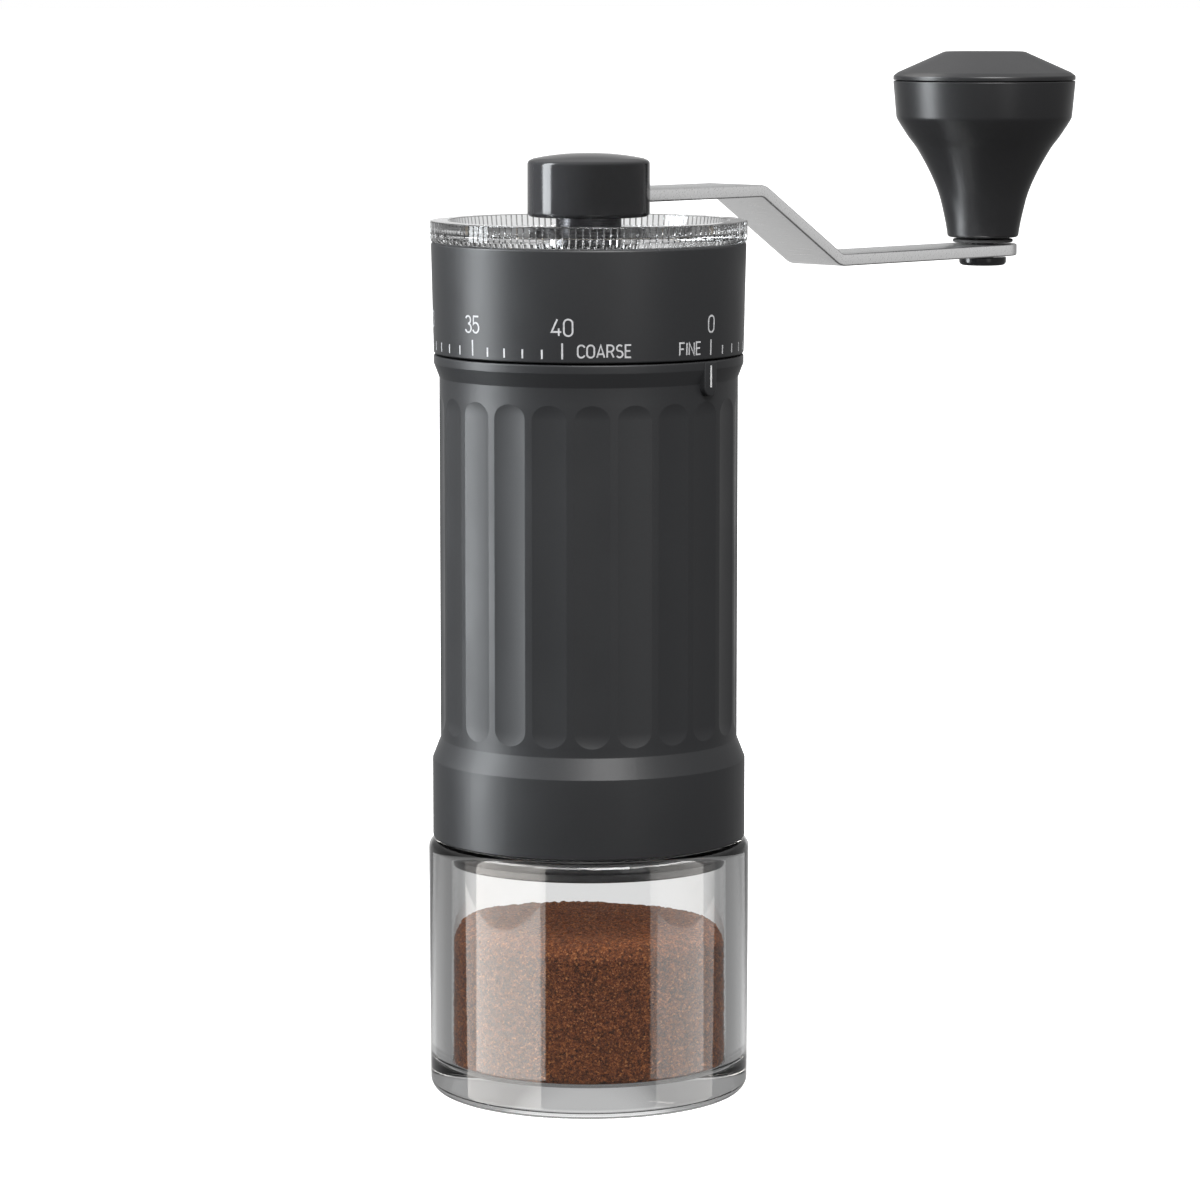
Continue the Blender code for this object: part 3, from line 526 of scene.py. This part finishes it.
def make_grip_body():
    """The body's shell. Its columns follow the flutes' edges, so the round ends come out clean."""
    cutter, away = flute_geometry()
    end_height = math.sqrt(cutter**2 - (away - GRIP_R) ** 2)
    low, high = FLUTE_ENDS
    flute_columns, land_columns, end_rows = 14, 8, 12
    tip = 0.004
    rows = []

    def row(r, z, height=None):
        """One ring of points. height is the distance into a flute's end, or None off the flutes."""
        inside = height is not None
        half = max(flute_half_angle(height, cutter, away), tip) if inside else tip
        ring = []
        for flute in range(FLUTES):
            centre = FLUTE_PHASE + TAU * flute / FLUTES
            for k in range(flute_columns):
                offset = half * (2 * k / flute_columns - 1)
                radius = r
                if inside and half > tip:
                    reach = cutter**2 - height**2 - (away * math.sin(offset)) ** 2
                    radius = min(away * math.cos(offset) - math.sqrt(reach), r)
                ring.append((centre + offset, radius, z))
            land = TAU / FLUTES - 2 * half
            for k in range(land_columns):
                ring.append((centre + half + land * k / land_columns, r, z))
        rows.append(ring)

    top = rounded([
        (SPIGOT_R, SPIGOT_TOP, 0.3),
        (SPIGOT_R, FLANGE_TOP, 0.2),
        (FLANGE_R, FLANGE_TOP, 0.25),
        (FLANGE_R, FLANGE_EDGE, 0.35),
        (GRIP_R, GRIP_TOP, 0.5),
        (GRIP_R, high),
    ], False)[1:]
    mouth = [(HOPPER_R, SPIGOT_TOP), (SPIGOT_R, SPIGOT_TOP, 0.3), (SPIGOT_R, FLANGE_TOP)]
    for r, z in rounded(mouth, False)[:-1] + top:
        row(r, z)
    for k in range(1, end_rows + 1):
        share = math.cos(math.pi / 2 * k / end_rows)
        row(GRIP_R, high - FLUTE_END * (1 - share), end_height * share)
    for k in range(end_rows + 1):
        share = math.sin(math.pi / 2 * k / end_rows)
        row(GRIP_R, low + FLUTE_END * (1 - share), end_height * share)
    bottom = rounded([
        (GRIP_R, low),
        (GRIP_R, GRIP_BOTTOM, 0.5),
        (COLLAR_R, COLLAR_TOP, 0.35),
        (COLLAR_R, BODY_BOTTOM, 0.35),
        (BURR_BORE_R, BODY_BOTTOM, 0.3),
        (BURR_BORE_R, LEDGE_Z),
        (HOPPER_R, LEDGE_Z),
        (HOPPER_R, SPIGOT_TOP),
    ], False)[1:-1]
    for r, z in bottom:
        row(r, z)

    count = len(rows[0])
    vertices = [(r * math.cos(a), r * math.sin(a), z) for ring in rows for a, r, z in ring]
    faces = []
    for k in range(len(rows)):
        upper, lower = k * count, (k + 1) % len(rows) * count
        for i in range(count):
            j = (i + 1) % count
            faces.append((upper + i, lower + i, lower + j, upper + j))
    shell = new_piece("grip_shell", vertices, faces, 8.0)
    finish_piece(shell, ANODISED, "housing", ["grip_body"])


def make_marker():
    """The tongue under the dial, and the reading line on it."""
    half, outer, inner = 1.6, FLANGE_R + 0.12, GRIP_R - 0.6
    bottom, top = GRIP_TOP - 2.0, FLANGE_TOP - 0.1
    turn = Matrix.Rotation(SCALE_ZERO, 3, "Z")

    def outline(radius, inset):
        """The tongue's front outline at a radius: square at the top and round at the bottom."""
        w = half - inset
        points = [(w, top - inset), (w, bottom + half)]
        for k in range(1, 12):
            a = math.pi * k / 12
            points.append((w * math.cos(a), bottom + half - w * math.sin(a)))
        points += [(-w, bottom + half), (-w, top - inset)]
        return [tuple(turn @ Vector((radius, y, z))) for y, z in points]

    edge = 0.25
    sections = [outline(inner, 0.0), outline(outer - edge, 0.0)]
    for k in range(1, 5):
        a = math.pi / 2 * k / 4
        sections.append(outline(outer - edge * (1 - math.sin(a)), edge * (1 - math.cos(a))))
    tongue = loft("marker_tongue", sections, 40.0)
    tongue.data.flip_normals()
    finish_piece(tongue, ANODISED, "housing", ["index_marker"])

    line_bottom, line_top, line_half = GRIP_TOP - 0.5, FLANGE_TOP - 0.7, 0.19
    sections = []
    corners = (
        (line_half, line_top), (line_half, line_bottom), (-line_half, line_bottom), (-line_half, line_top),
    )
    for radius in (outer - 0.1, outer + 0.02):
        sections.append([tuple(turn @ Vector((radius, y, z))) for y, z in corners])
    line = loft("marker_line", sections)
    line.data.flip_normals()
    finish_piece(line, SILVER_INK, "housing")


def make_neck():
    """The neck inside the jar's mouth, with the turns of its thread."""
    low, high = box_mm("neck_ring")
    r, bore = high.x, high.x - 4.3
    shoulder, first_turn, pitch = JAR_TOP, 1.0, 1.25
    outline = [
        (BURR_BORE_R - 0.3, high.z, 0.2),
        (BURR_BORE_R - 0.3, shoulder),
        (r, shoulder, 0.2),
    ]
    for k in range(2):
        z = shoulder - first_turn - pitch * k
        outline += [(r, z + 0.3, 0.1), (r - 0.5, z, 0.15), (r, z - 0.3, 0.1)]
    outline += [(r, low.z, 0.4), (bore, low.z, 0.4), (bore, high.z, 0.2)]
    finish_piece(lathe("threaded_neck", outline), SATIN, "housing", ["neck_ring"])


# Dial ---------------------------------------------------------------------------------------------


def dial_radius(z):
    return DIAL_R_BOTTOM + (DIAL_R_TOP - DIAL_R_BOTTOM) * (z - DIAL_BOTTOM) / (DIAL_TOP - DIAL_BOTTOM)


def arc(x, y, rx, ry, start, end, steps=10):
    """Points on an ellipse's arc, with its angles in degrees."""
    angles = [math.radians(start + (end - start) * k / steps) for k in range(steps + 1)]
    return [(x + rx * math.cos(a), y + ry * math.sin(a)) for a in angles]


def stroke_font():
    """Narrow technical letters as pen strokes on a body one unit tall: width and strokes."""
    oval = arc(0.23, 0.75, 0.23, 0.25, 0, 180) + arc(0.23, 0.25, 0.23, 0.25, 180, 360)
    round_o = arc(0.27, 0.72, 0.27, 0.28, 0, 180) + arc(0.27, 0.28, 0.27, 0.28, 180, 360)
    return {
        "0": (0.46, [oval + oval[:1]]),
        "1": (0.26, [[(0.0, 0.78), (0.22, 1.0), (0.22, 0.0)]]),
        "2": (0.46, [arc(0.22, 0.76, 0.21, 0.24, 165, -25) + [(0.02, 0.0), (0.46, 0.0)]]),
        "3": (0.46, [
            arc(0.21, 0.77, 0.20, 0.23, 160, -90),
            arc(0.21, 0.27, 0.24, 0.27, 90, -160),
        ]),
        "4": (0.52, [[(0.30, 1.0), (0.0, 0.24), (0.52, 0.24)], [(0.38, 0.46), (0.38, 0.0)]]),
        "5": (0.46, [[(0.42, 1.0), (0.06, 1.0), (0.03, 0.52)] + arc(0.20, 0.31, 0.24, 0.31, 125, -155)]),
        "A": (0.56, [[(0.0, 0.0), (0.28, 1.0), (0.56, 0.0)], [(0.10, 0.28), (0.46, 0.28)]]),
        "C": (0.50, [arc(0.27, 0.72, 0.27, 0.28, 20, 180) + arc(0.27, 0.28, 0.27, 0.28, 180, 340)]),
        "E": (0.44, [[(0.44, 1.0), (0.0, 1.0), (0.0, 0.0), (0.44, 0.0)], [(0.0, 0.52), (0.38, 0.52)]]),
        "F": (0.44, [[(0.44, 1.0), (0.0, 1.0), (0.0, 0.0)], [(0.0, 0.50), (0.38, 0.50)]]),
        "I": (0.0, [[(0.0, 1.0), (0.0, 0.0)]]),
        "N": (0.50, [[(0.0, 0.0), (0.0, 1.0), (0.50, 0.0), (0.50, 1.0)]]),
        "O": (0.54, [round_o + round_o[:1]]),
        "R": (0.50, [
            [(0.0, 0.0), (0.0, 1.0), (0.24, 1.0)] + arc(0.24, 0.74, 0.25, 0.26, 90, -90) + [(0.0, 0.48)],
            [(0.28, 0.48), (0.50, 0.0)],
        ]),
        "S": (0.48, [
            arc(0.24, 0.75, 0.22, 0.25, 35, 230) + arc(0.24, 0.26, 0.24, 0.26, 65, -150),
        ]),
    }


FONT = stroke_font()


def ribbon(points, width):
    """The two edges of a flat stroke of a width along a line of points."""
    closed = math.dist(points[0], points[-1]) < TINY
    line = [Vector(p) for p in (points[:-1] if closed else points)]
    left, right = [], []
    count = len(line)
    for i, p in enumerate(line):
        before = line[i - 1] if closed or i else p
        after = line[(i + 1) % count] if closed or i < count - 1 else p
        into = (p - before).normalized() if before != p else (after - p).normalized()
        out = (after - p).normalized() if after != p else into
        normal = Vector((-(into + out).y, (into + out).x)).normalized()
        stretch = min(1.0 / max(normal.dot(Vector((-into.y, into.x))), 0.3), 2.0)
        left.append(p + normal * width / 2 * stretch)
        right.append(p - normal * width / 2 * stretch)
    if closed:
        left.append(left[0])
        right.append(right[0])
    return left, right


def stroke_mesh(strokes, width, lift=0.015, sink=0.05):
    """Closed thin strips on the dial's surface.

    A stroke is an angle with points of the distance around from it, in mm, and z.
    """
    vertices, faces = [], []

    def on_dial(angle, point, height):
        radius = dial_radius(point.y) + height
        a = angle + point.x / radius
        return (radius * math.cos(a), radius * math.sin(a), point.y)

    for angle, points in strokes:
        left, right = ribbon(points, width)
        base = len(vertices)
        for a, b in zip(left, right):
            vertices += [
                on_dial(angle, a, lift), on_dial(angle, b, lift),
                on_dial(angle, b, -sink), on_dial(angle, a, -sink),
            ]
        steps = len(left) - 1
        for k in range(steps):
            p, q = base + 4 * k, base + 4 * (k + 1)
            for side in range(4):
                other = (side + 1) % 4
                faces.append((p + side, p + other, q + other, q + side))
        end = base + 4 * steps
        faces += [(base + 3, base + 2, base + 1, base), (end, end + 1, end + 2, end + 3)]
    return vertices, faces


def text_strokes(text, angle, low, height, spacing, stretch=1.0):
    """The strokes of a word, centred on an angle."""
    widths = [FONT[c][0] * height * stretch for c in text]
    cursor = -(sum(widths) + spacing * (len(text) - 1)) / 2
    strokes = []
    for c, width in zip(text, widths):
        for line in FONT[c][1]:
            strokes.append((angle, [(cursor + x * height * stretch, low + y * height) for x, y in line]))
        cursor += width + spacing
    return strokes


def make_dial():
    outline = [
        (DIAL_R_TOP - 0.03, DIAL_TOP, 0.45),
        (DIAL_R_BOTTOM, DIAL_BOTTOM, 0.3),
        (SPIGOT_R + 2.7, DIAL_BOTTOM, 0.2),
        (SPIGOT_R + 2.7, DIAL_BOTTOM + 1.0),
        (SPIGOT_R + 0.3, DIAL_BOTTOM + 1.0, 0.2),
        (SPIGOT_R + 0.3, SPIGOT_TOP + 0.3, 0.2),
        (SPIGOT_R + 1.1, SPIGOT_TOP + 0.3),
        (SPIGOT_R + 1.1, DIAL_TOP, 0.4),
    ]
    dial = lathe("dial_shell", outline, 256)
    finish_piece(dial, ANODISED, "dial", ["dial_ring"])

    marks_low, minor_high, major_high = DIAL_BOTTOM + 0.7, DIAL_BOTTOM + 2.2, DIAL_BOTTOM + 3.3
    figures = []
    ticks = []
    for value in range(SCALE_MARKS + 1):
        angle = SCALE_ZERO + SCALE_STEP * value
        major = value % 5 == 0
        ticks.append((angle, [(0.0, marks_low), (0.0, major_high if major else minor_high)]))
        if major:
            figures += text_strokes(str(value), angle, DIAL_BOTTOM + 4.5, 2.7, 0.42, 1.15)
    words = text_strokes("COARSE", CAMERA_ANGLE + math.radians(5.85), DIAL_BOTTOM + 1.0, 2.0, 0.45, 1.08)
    words += text_strokes("FINE", CAMERA_ANGLE + math.radians(39.95), DIAL_BOTTOM + 1.0, 2.0, 0.5, 1.08)
    for name, strokes, width in (
        ("scale_ticks", ticks, 0.30),
        ("scale_figures", figures, 0.28),
        ("scale_words", words, 0.27),
    ):
        piece = new_piece(name, *stroke_mesh(strokes, width))
        finish_piece(piece, INK, "dial")


# Lid ----------------------------------------------------------------------------------------------


def make_lid():
    """The clear lid. Its rim is ribbed, and its disc lies below the rim."""
    disc = LID_TOP - 2.1
    groove, knurl, knurl_top = 0.13, 0.16, LID_BOTTOM + 0.4
    lip_r, hollow_r, hole_r = 22.4, 20.6, 6.1

    def ribbed(r, z, angle):
        """Narrow upright grooves in the rim, and a coarser knurl on its lower edge."""
        column = round(angle / TAU * LID_RIBS * LID_COLUMNS) % LID_COLUMNS
        if r > LID_R - 0.1 and knurl_top < z < LID_TOP - 0.1:
            return r - groove if column == 0 else r
        if r > LID_R - 0.4 and z < knurl_top:
            return r - knurl if column < LID_COLUMNS / 2 else r
        return r

    outline = [
        (LID_R, LID_TOP, 0.2),
        (LID_R, LID_BOTTOM + 0.5, 0.1),
        (LID_R - 0.2, LID_BOTTOM - 0.2, 0.1),
        (lip_r, LID_BOTTOM - 0.2, 0.2),
        (lip_r, LID_BOTTOM - 2.3, 0.2),
        (hollow_r, LID_BOTTOM - 2.3, 0.2),
        (hollow_r, LID_BOTTOM - 0.3, 0.4),
        (hole_r, LID_BOTTOM - 0.3, 0.3),
        (hole_r, disc, 0.3),
        (23.0, disc, 0.4),
        (23.6, LID_TOP, 0.15),
    ]
    lid = lathe("clear_lid", outline, LID_RIBS * LID_COLUMNS, shape=ribbed)
    finish_piece(lid, CLEAR, "lid", ["lid"])


# Crank --------------------------------------------------------------------------------------------


def make_cap():
    """The glossy cap over the crank's hub, with the slot that the strip leaves it by."""
    low, high = cap_low.z, cap_high.z
    wall, roof, gap = 1.4, 1.9, 0.3

    def dome(share):
        """The point of the domed top at a share of the cap's radius."""
        return CAP_R * share, high - 1.15 * share**2.2

    path = [dome(share) for share in (0.0, 0.2, 0.4, 0.6, 0.75, 0.86)] + rounded([
        dome(0.9),
        (CAP_R - 0.02, high - 1.35, 0.8),
        (CAP_R, low, 0.8),
        (CAP_R - wall, low, 0.3),
        (CAP_R - wall, high - roof, 0.5),
        (0.0, high - roof),
    ], False)
    cap = revolve("hub_cap", path, 160, ring=False)

    slot_low, slot_high, slot_end = arm_high.z - ARM_THICKNESS - gap, arm_high.z + gap, CAP_R + 4.0
    size = Vector((slot_end, 2 * (ARM_HALF_WIDTH + gap), slot_high - slot_low)) * MM
    cutter = bmesh.new()
    bmesh.ops.create_cube(cutter, size=1.0)
    bmesh.ops.scale(cutter, vec=size, verts=cutter.verts)
    middle = Vector((slot_end / 2, 0.0, (slot_low + slot_high) / 2)) * MM
    bmesh.ops.translate(cutter, vec=middle, verts=cutter.verts)
    mesh = bpy.data.meshes.new("cap_slot")
    cutter.to_mesh(mesh)
    cutter.free()
    tool = bpy.data.objects.new("cap_slot", mesh)
    bpy.context.scene.collection.objects.link(tool)
    step = cap.modifiers.new("slot", "BOOLEAN")
    step.operation = "DIFFERENCE"
    step.object = tool
    step.solver = "EXACT"
    seen = cap.evaluated_get(bpy.context.evaluated_depsgraph_get())
    cut = bpy.data.meshes.new_from_object(seen)
    cap.modifiers.clear()
    cap.data = cut
    bpy.data.objects.remove(tool)
    cut.shade_smooth()
    cut.set_sharp_from_angle(angle=math.radians(30.0))
    finish_piece(cap, GLOSS, "crank", ["crank_cap"])


def make_socket():
    """The hub under the strip, with the groove of the ring that keeps the lid on it."""
    low, high = box_mm("hub_socket")
    hub_r, groove_r, bore_r, screw_r = 5.5, 4.9, 3.3, 1.9
    outline = [
        (high.x, high.z, 0.2),
        (high.x, high.z - 1.65, 0.2),
        (hub_r, high.z - 1.65, 0.2),
        (hub_r, high.z - 6.3, 0.2),
        (groove_r, high.z - 6.3),
        (groove_r, high.z - 7.5),
        (hub_r, high.z - 7.5, 0.1),
        (hub_r, low.z, 0.5),
        (bore_r, low.z, 0.3),
        (bore_r, high.z - 3.4),
        (screw_r, high.z - 3.4),
        (screw_r, high.z),
    ]
    socket = lathe("shaft_socket", outline, 96)
    finish_piece(socket, DARK_STEEL, "crank", ["hub_socket"])


def arm_path():
    """Middle line of the crank strip as (x, z), with its bends as arcs."""
    half = ARM_THICKNESS / 2
    high, low = arm_high.z - half, arm_low.z + half
    bent = rounded([
        (arm_low.x, high),
        (ARM_BENDS_X[0], high, ARM_BEND_R),
        (ARM_BENDS_X[1], low, ARM_BEND_R),
        (arm_high.x, low),
    ], False)
    ends = [0.02, 0.15, 0.4, 0.8, 1.3, 2.0, 3.0, 4.2, 5.2, 6.2]
    path = [(arm_low.x + d, high) for d in ends]
    path += bent[1:-1]
    path += [(arm_high.x - d, low) for d in reversed(ends)]
    return path


def make_arm():
    """The bent strip: a rounded flat section swept along its middle line, with full-round ends."""
    half, edge = ARM_THICKNESS / 2, 0.32
    path = arm_path()
    sections = []
    for i, (x, z) in enumerate(path):
        before, after = Vector(path[max(i - 1, 0)]), Vector(path[min(i + 1, len(path) - 1)])
        along = (after - before).normalized()
        up = Vector((-along.y, along.x))
        if i not in (0, len(path) - 1):
            a = (Vector((x, z)) - before).normalized()
            up = up / max(up.dot(Vector((-a.y, a.x))), 0.5)
        inset = min(x - arm_low.x, arm_high.x - x)
        width = ARM_HALF_WIDTH
        if inset < width:
            width = math.sqrt(width**2 - (width - inset) ** 2)
        corner = min(edge, width * 0.5)
        ring = []
        for sy, sz, first in ((1, 1, 0), (-1, 1, 90), (-1, -1, 180), (1, -1, 270)):
            for k in range(5):
                a = math.radians(first + 90 * k / 4)
                y = sy * (width - corner) + corner * math.cos(a)
                n = sz * (half - corner) + corner * math.sin(a)
                ring.append((x + up.x * n, y, z + up.y * n))
        sections.append(ring)
    arm = loft("crank_strip", sections, 40.0)
    finish_piece(arm, STRIP_STEEL, "crank", ["crank_arm"])


def make_pin():
    """The knob's pin, with its head below and the groove for its retaining ring, and the washer on it."""
    low, high = pin_low.z, pin_high.z
    pin_r, groove_r, head = 2.0, 1.5, 1.5
    outline = [
        (0.0, high),
        (pin_r, high, 0.3),
        (pin_r, high - 0.4),
        (groove_r, high - 0.4),
        (groove_r, high - 1.2),
        (pin_r, high - 1.2),
        (pin_r, low + head),
        (pin_high.y, low + head, 0.2),
        (pin_high.y, low, 0.75),
        (0.0, low),
    ]
    pin = lathe("knob_spindle", outline, 96, ring=False, x=KNOB_X)
    finish_piece(pin, GLOSS, "crank", ["knob_pin"])
    washer_low, washer_high = box_mm("pin_washer")
    r = washer_high.y
    outline = [
        (r, washer_high.z, 0.2),
        (r, washer_low.z, 0.2),
        (2.4, washer_low.z, 0.1),
        (2.4, washer_high.z, 0.1),
    ]
    washer = lathe("spindle_washer", outline, 96, x=KNOB_X)
    finish_piece(washer, RUBBER, "crank", ["pin_washer"])


def make_knob():
    """The knob's flared body, hollow for its bush, and the crown on it. Heights are from their seam."""
    low, seam = knob_low.z, knob_high.z
    flare = spline([
        (15.05, seam - 8.1), (13.65, seam - 10.2), (12.1, seam - 12.3), (9.85, seam - 16.3),
        (8.1, seam - 20.4), (7.0, seam - 24.8), (6.55, seam - 27.2),
    ])
    path = rounded([
        (13.0, seam),
        (KNOB_R, seam, 0.2),
        (15.9, seam - 6.7, 2.0),
        (15.05, seam - 8.1),
    ], False)[:-1]
    path = path + flare
    path += rounded([
        (6.5, low + 0.8),
        (6.45, low, 0.6),
        (3.8, low, 0.2),
        (3.8, seam - 4.0, 0.3),
        (13.0, seam - 4.0, 0.5),
        (13.0, seam),
    ], False)[1:-1]
    body = revolve("knob_grip", path, 192, x=KNOB_X)
    finish_piece(body, SATIN, "knob", ["knob_body"])

    bottom, top = knob_top_low.z, knob_top_high.z
    outline = [
        (0.0, top),
        (7.2, top, 2.2),
        (15.65, top - 3.75, 0.9),
        (KNOB_R, top - 4.4, 0.5),
        (KNOB_R, seam + 0.14, 0.12),
        (12.7, seam + 0.14, 0.1),
        (12.7, bottom, 0.3),
        (0.0, bottom),
    ]
    crown = lathe("knob_crown", outline, 192, ring=False, x=KNOB_X)
    finish_piece(crown, SATIN, "knob", ["knob_cap"])


def paint_nodes():
    """Better materials on the CAD nodes that stay."""
    chosen = {
        "machined_steel": STEEL,
        "inner_aluminium": INNER,
        "brass": BRASS,
        "black_gloss": GLOSS,
        "black_satin": SATIN,
        "silicone": RUBBER,
        "anodised_black": ANODISED,
        "brushed_steel": STRIP_STEEL,
        "clear_glass": GLASS,
        "clear_plastic": CLEAR,
        "ground_coffee": COFFEE,
    }
    for part in frame["record"]["subparts"]:
        node = frame["nodes"][part["node"]]
        for holder in node.material_slots:
            holder.material = chosen[part["material_slot"]]


# Stage --------------------------------------------------------------------------------------------

WHITE = (1.0, 1.0, 1.0)


def soft_box(name, angle, height, distance, size, radiance, aim=90.0, colour=WHITE, only=(), without=()):
    """A soft box at an angle from the camera's side, in degrees to the right, aimed at the object.

    Its radiance is relative to a white of 1. It lights everything, all but some pieces, or only some,
    and in that case nothing else casts a shadow from it.
    """
    polar = CAMERA_ANGLE + math.radians(angle)
    data = bpy.data.lights.new(name, "AREA")
    data.shape = "RECTANGLE"
    data.size, data.size_y = size[0] * MM, size[1] * MM
    data.energy = radiance * math.pi * data.size * data.size_y
    data.color = colour
    light = bpy.data.objects.new(name, data)
    light.location = Vector((distance * math.cos(polar), distance * math.sin(polar), height)) * MM
    toward = Vector((0.0, 0.0, aim * MM)) - light.location
    light.rotation_euler = toward.to_track_quat("-Z", "Y").to_euler()
    bpy.context.scene.collection.objects.link(light)
    if only or without:
        lit = bpy.data.collections.new(name + "_lights")
        for piece in only or without:
            lit.objects.link(bpy.data.objects[piece])
        for member in lit.collection_objects:
            member.light_linking.link_state = "INCLUDE" if only else "EXCLUDE"
        light.light_linking.receiver_collection = lit
    if only:
        light.light_linking.blocker_collection = lit


def make_world():
    """A white backdrop behind the object, a dim room in front of it, a ceiling, and a darker floor.

    The backdrop is dimmer toward its sides, low down and high up. The camera itself sees white everywhere.
    """
    world = bpy.data.worlds.new("studio")
    world.use_nodes = True
    tree = world.node_tree
    tree.nodes.clear()

    def math_node(operation, first, second=None):
        node = tree.nodes.new("ShaderNodeMath")
        node.operation = operation
        for socket, value in zip(node.inputs, (first, second)):
            if isinstance(value, (int, float)):
                socket.default_value = value
            elif value is not None:
                tree.links.new(value, socket)
        return node.outputs["Value"]

    source = tree.nodes.new("ShaderNodeTexCoord")
    parts = tree.nodes.new("ShaderNodeSeparateXYZ")
    tree.links.new(source.outputs["Generated"], parts.inputs["Vector"])
    x, y, z = parts.outputs
    away = math_node("ADD", math_node("MULTIPLY", x, -math.cos(CAMERA_ANGLE)),
                     math_node("MULTIPLY", y, -math.sin(CAMERA_ANGLE)))
    backdrop = colour_ramp(tree, away, [(step, (grey, grey, grey)) for step, grey in BACKDROP_STEPS])
    lower = ranged(tree, z, BACKDROP_BELOW, 1.0, -0.45, -0.1)
    upper = ranged(tree, z, 1.0, BACKDROP_ABOVE, 0.02, 0.16)
    behind = math_node("MULTIPLY", math_node("MULTIPLY", backdrop, lower), upper)
    walls = ranged(tree, z, ROOM_BELOW, ROOM, -0.15, 0.1)
    ceiling = ranged(tree, z, 0.0, CEILING, 0.35, 0.8)
    room = math_node("ADD", walls, ceiling)
    rays = tree.nodes.new("ShaderNodeLightPath")
    strength = math_node("MAXIMUM", math_node("MAXIMUM", behind, room), rays.outputs["Is Camera Ray"])
    light = tree.nodes.new("ShaderNodeBackground")
    light.inputs["Color"].default_value = (1.0, 1.0, 1.0, 1.0)
    tree.links.new(strength, light.inputs["Strength"])
    output = tree.nodes.new("ShaderNodeOutputWorld")
    tree.links.new(light.outputs["Background"], output.inputs["Surface"])
    bpy.context.scene.world = world


def make_stage():
    """The glowing floor, which only the camera sees, and the soft boxes."""
    bpy.ops.mesh.primitive_plane_add(size=60.0, location=(0.0, 0.0, -0.0002))
    floor = bpy.context.object
    floor.name = "floor"
    made, shader, _ = new_material("pale_floor", (0.9, 0.9, 0.9), 0.9)
    shader.inputs["Emission Color"].default_value = (1.0, 1.0, 1.0, 1.0)
    shader.inputs["Emission Strength"].default_value = FLOOR_GLOW
    floor.data.materials.append(made)
    floor.visible_diffuse = False
    floor.visible_glossy = False
    floor.visible_transmission = False

    jar, cap, coffee = ("jar_glass",), ("hub_cap",), ("coffee_heap",)
    strip, crown = ("crank_strip",), ("knob_crown",)
    cool, warm = (0.93, 0.97, 1.0), (1.0, 0.97, 0.94)
    soft_box("left_strip", -85.0, 250.0, 700.0, (260.0, 900.0), 12.0, colour=cool, without=jar)
    soft_box("upper_left", -92.0, 640.0, 700.0, (160.0, 260.0), 22.0, colour=cool, without=jar + cap)
    soft_box("front_top", 15.0, 900.0, 800.0, (600.0, 600.0), 12.0, without=cap)
    soft_box("front_right", 32.0, 250.0, 900.0, (300.0, 600.0), 0.8, without=cap)
    for name, angle, width, radiance, colour in (
        ("jar_left", -66.0, 870.0, 5.2, (1.0, 0.96, 0.91)),
        ("jar_right", 75.0, 670.0, 2.6, (1.0, 0.97, 0.93)),
    ):
        size = (width, 400.0)
        soft_box(name, angle, -290.0, 700.0, size, radiance, -290.0, colour, only=jar)
        soft_box(name + "_above", angle, 110.0, 700.0, size, 0.3 * radiance, 110.0, colour, only=jar)
    for angle in (-75.0, -25.0, 25.0, 75.0):
        soft_box(f"jar_rim_{angle:.0f}", angle, 750.0, 700.0, (560.0, 300.0), 11.0, 40.0, only=jar)
    soft_box("coffee_top", 180.0, 900.0, 120.0, (300.0, 300.0), 24.0, 25.0, (1.0, 0.90, 0.80), only=coffee)
    soft_box("arm_right", 90.0, 150.0, 900.0, (1200.0, 900.0), 0.6, 140.0, only=strip)
    soft_box("arm_under", -162.0, -290.0, 550.0, (520.0, 520.0), 0.62, 145.0, only=strip)
    soft_box("crown_left", -135.0, 750.0, 600.0, (500.0, 400.0), 2.5, 170.0, warm, only=crown)


def make_camera():
    """A long lens a little above the knob's top, tilted down toward the grinder's middle."""
    distance, sideways, above_knob = 811.0, 1.9, 11.7
    eye = knob_top_high.z + above_knob
    horizon_drop = 609.0 / 4800.0  # the tangent of the tilt
    sensor, level_length = 36.0, 4.0  # the lens's length before the tilt, in sensor widths
    back = Vector((math.cos(CAMERA_ANGLE), math.sin(CAMERA_ANGLE), 0.0))
    right = Vector((-back.y, back.x, 0.0))
    data = bpy.data.cameras.new("camera")
    data.sensor_width = sensor
    data.lens = sensor * level_length * math.sqrt(1.0 + horizon_drop**2)
    data.clip_start, data.clip_end = 0.05, 50.0
    camera = bpy.data.objects.new("camera", data)
    place = back * distance + right * sideways
    camera.location = Vector((place.x, place.y, eye)) * MM
    look = -back - Vector((0.0, 0.0, horizon_drop))
    camera.rotation_euler = look.to_track_quat("-Z", "Y").to_euler()
    bpy.context.scene.collection.objects.link(camera)
    bpy.context.scene.camera = camera


paint_nodes()
make_jar()
make_coffee()
make_grip_body()
make_marker()
make_neck()
make_dial()
make_lid()
make_cap()
make_socket()
make_arm()
make_pin()
make_knob()
make_world()
make_stage()
make_camera()
bpy.context.scene.view_settings.view_transform = "Standard"
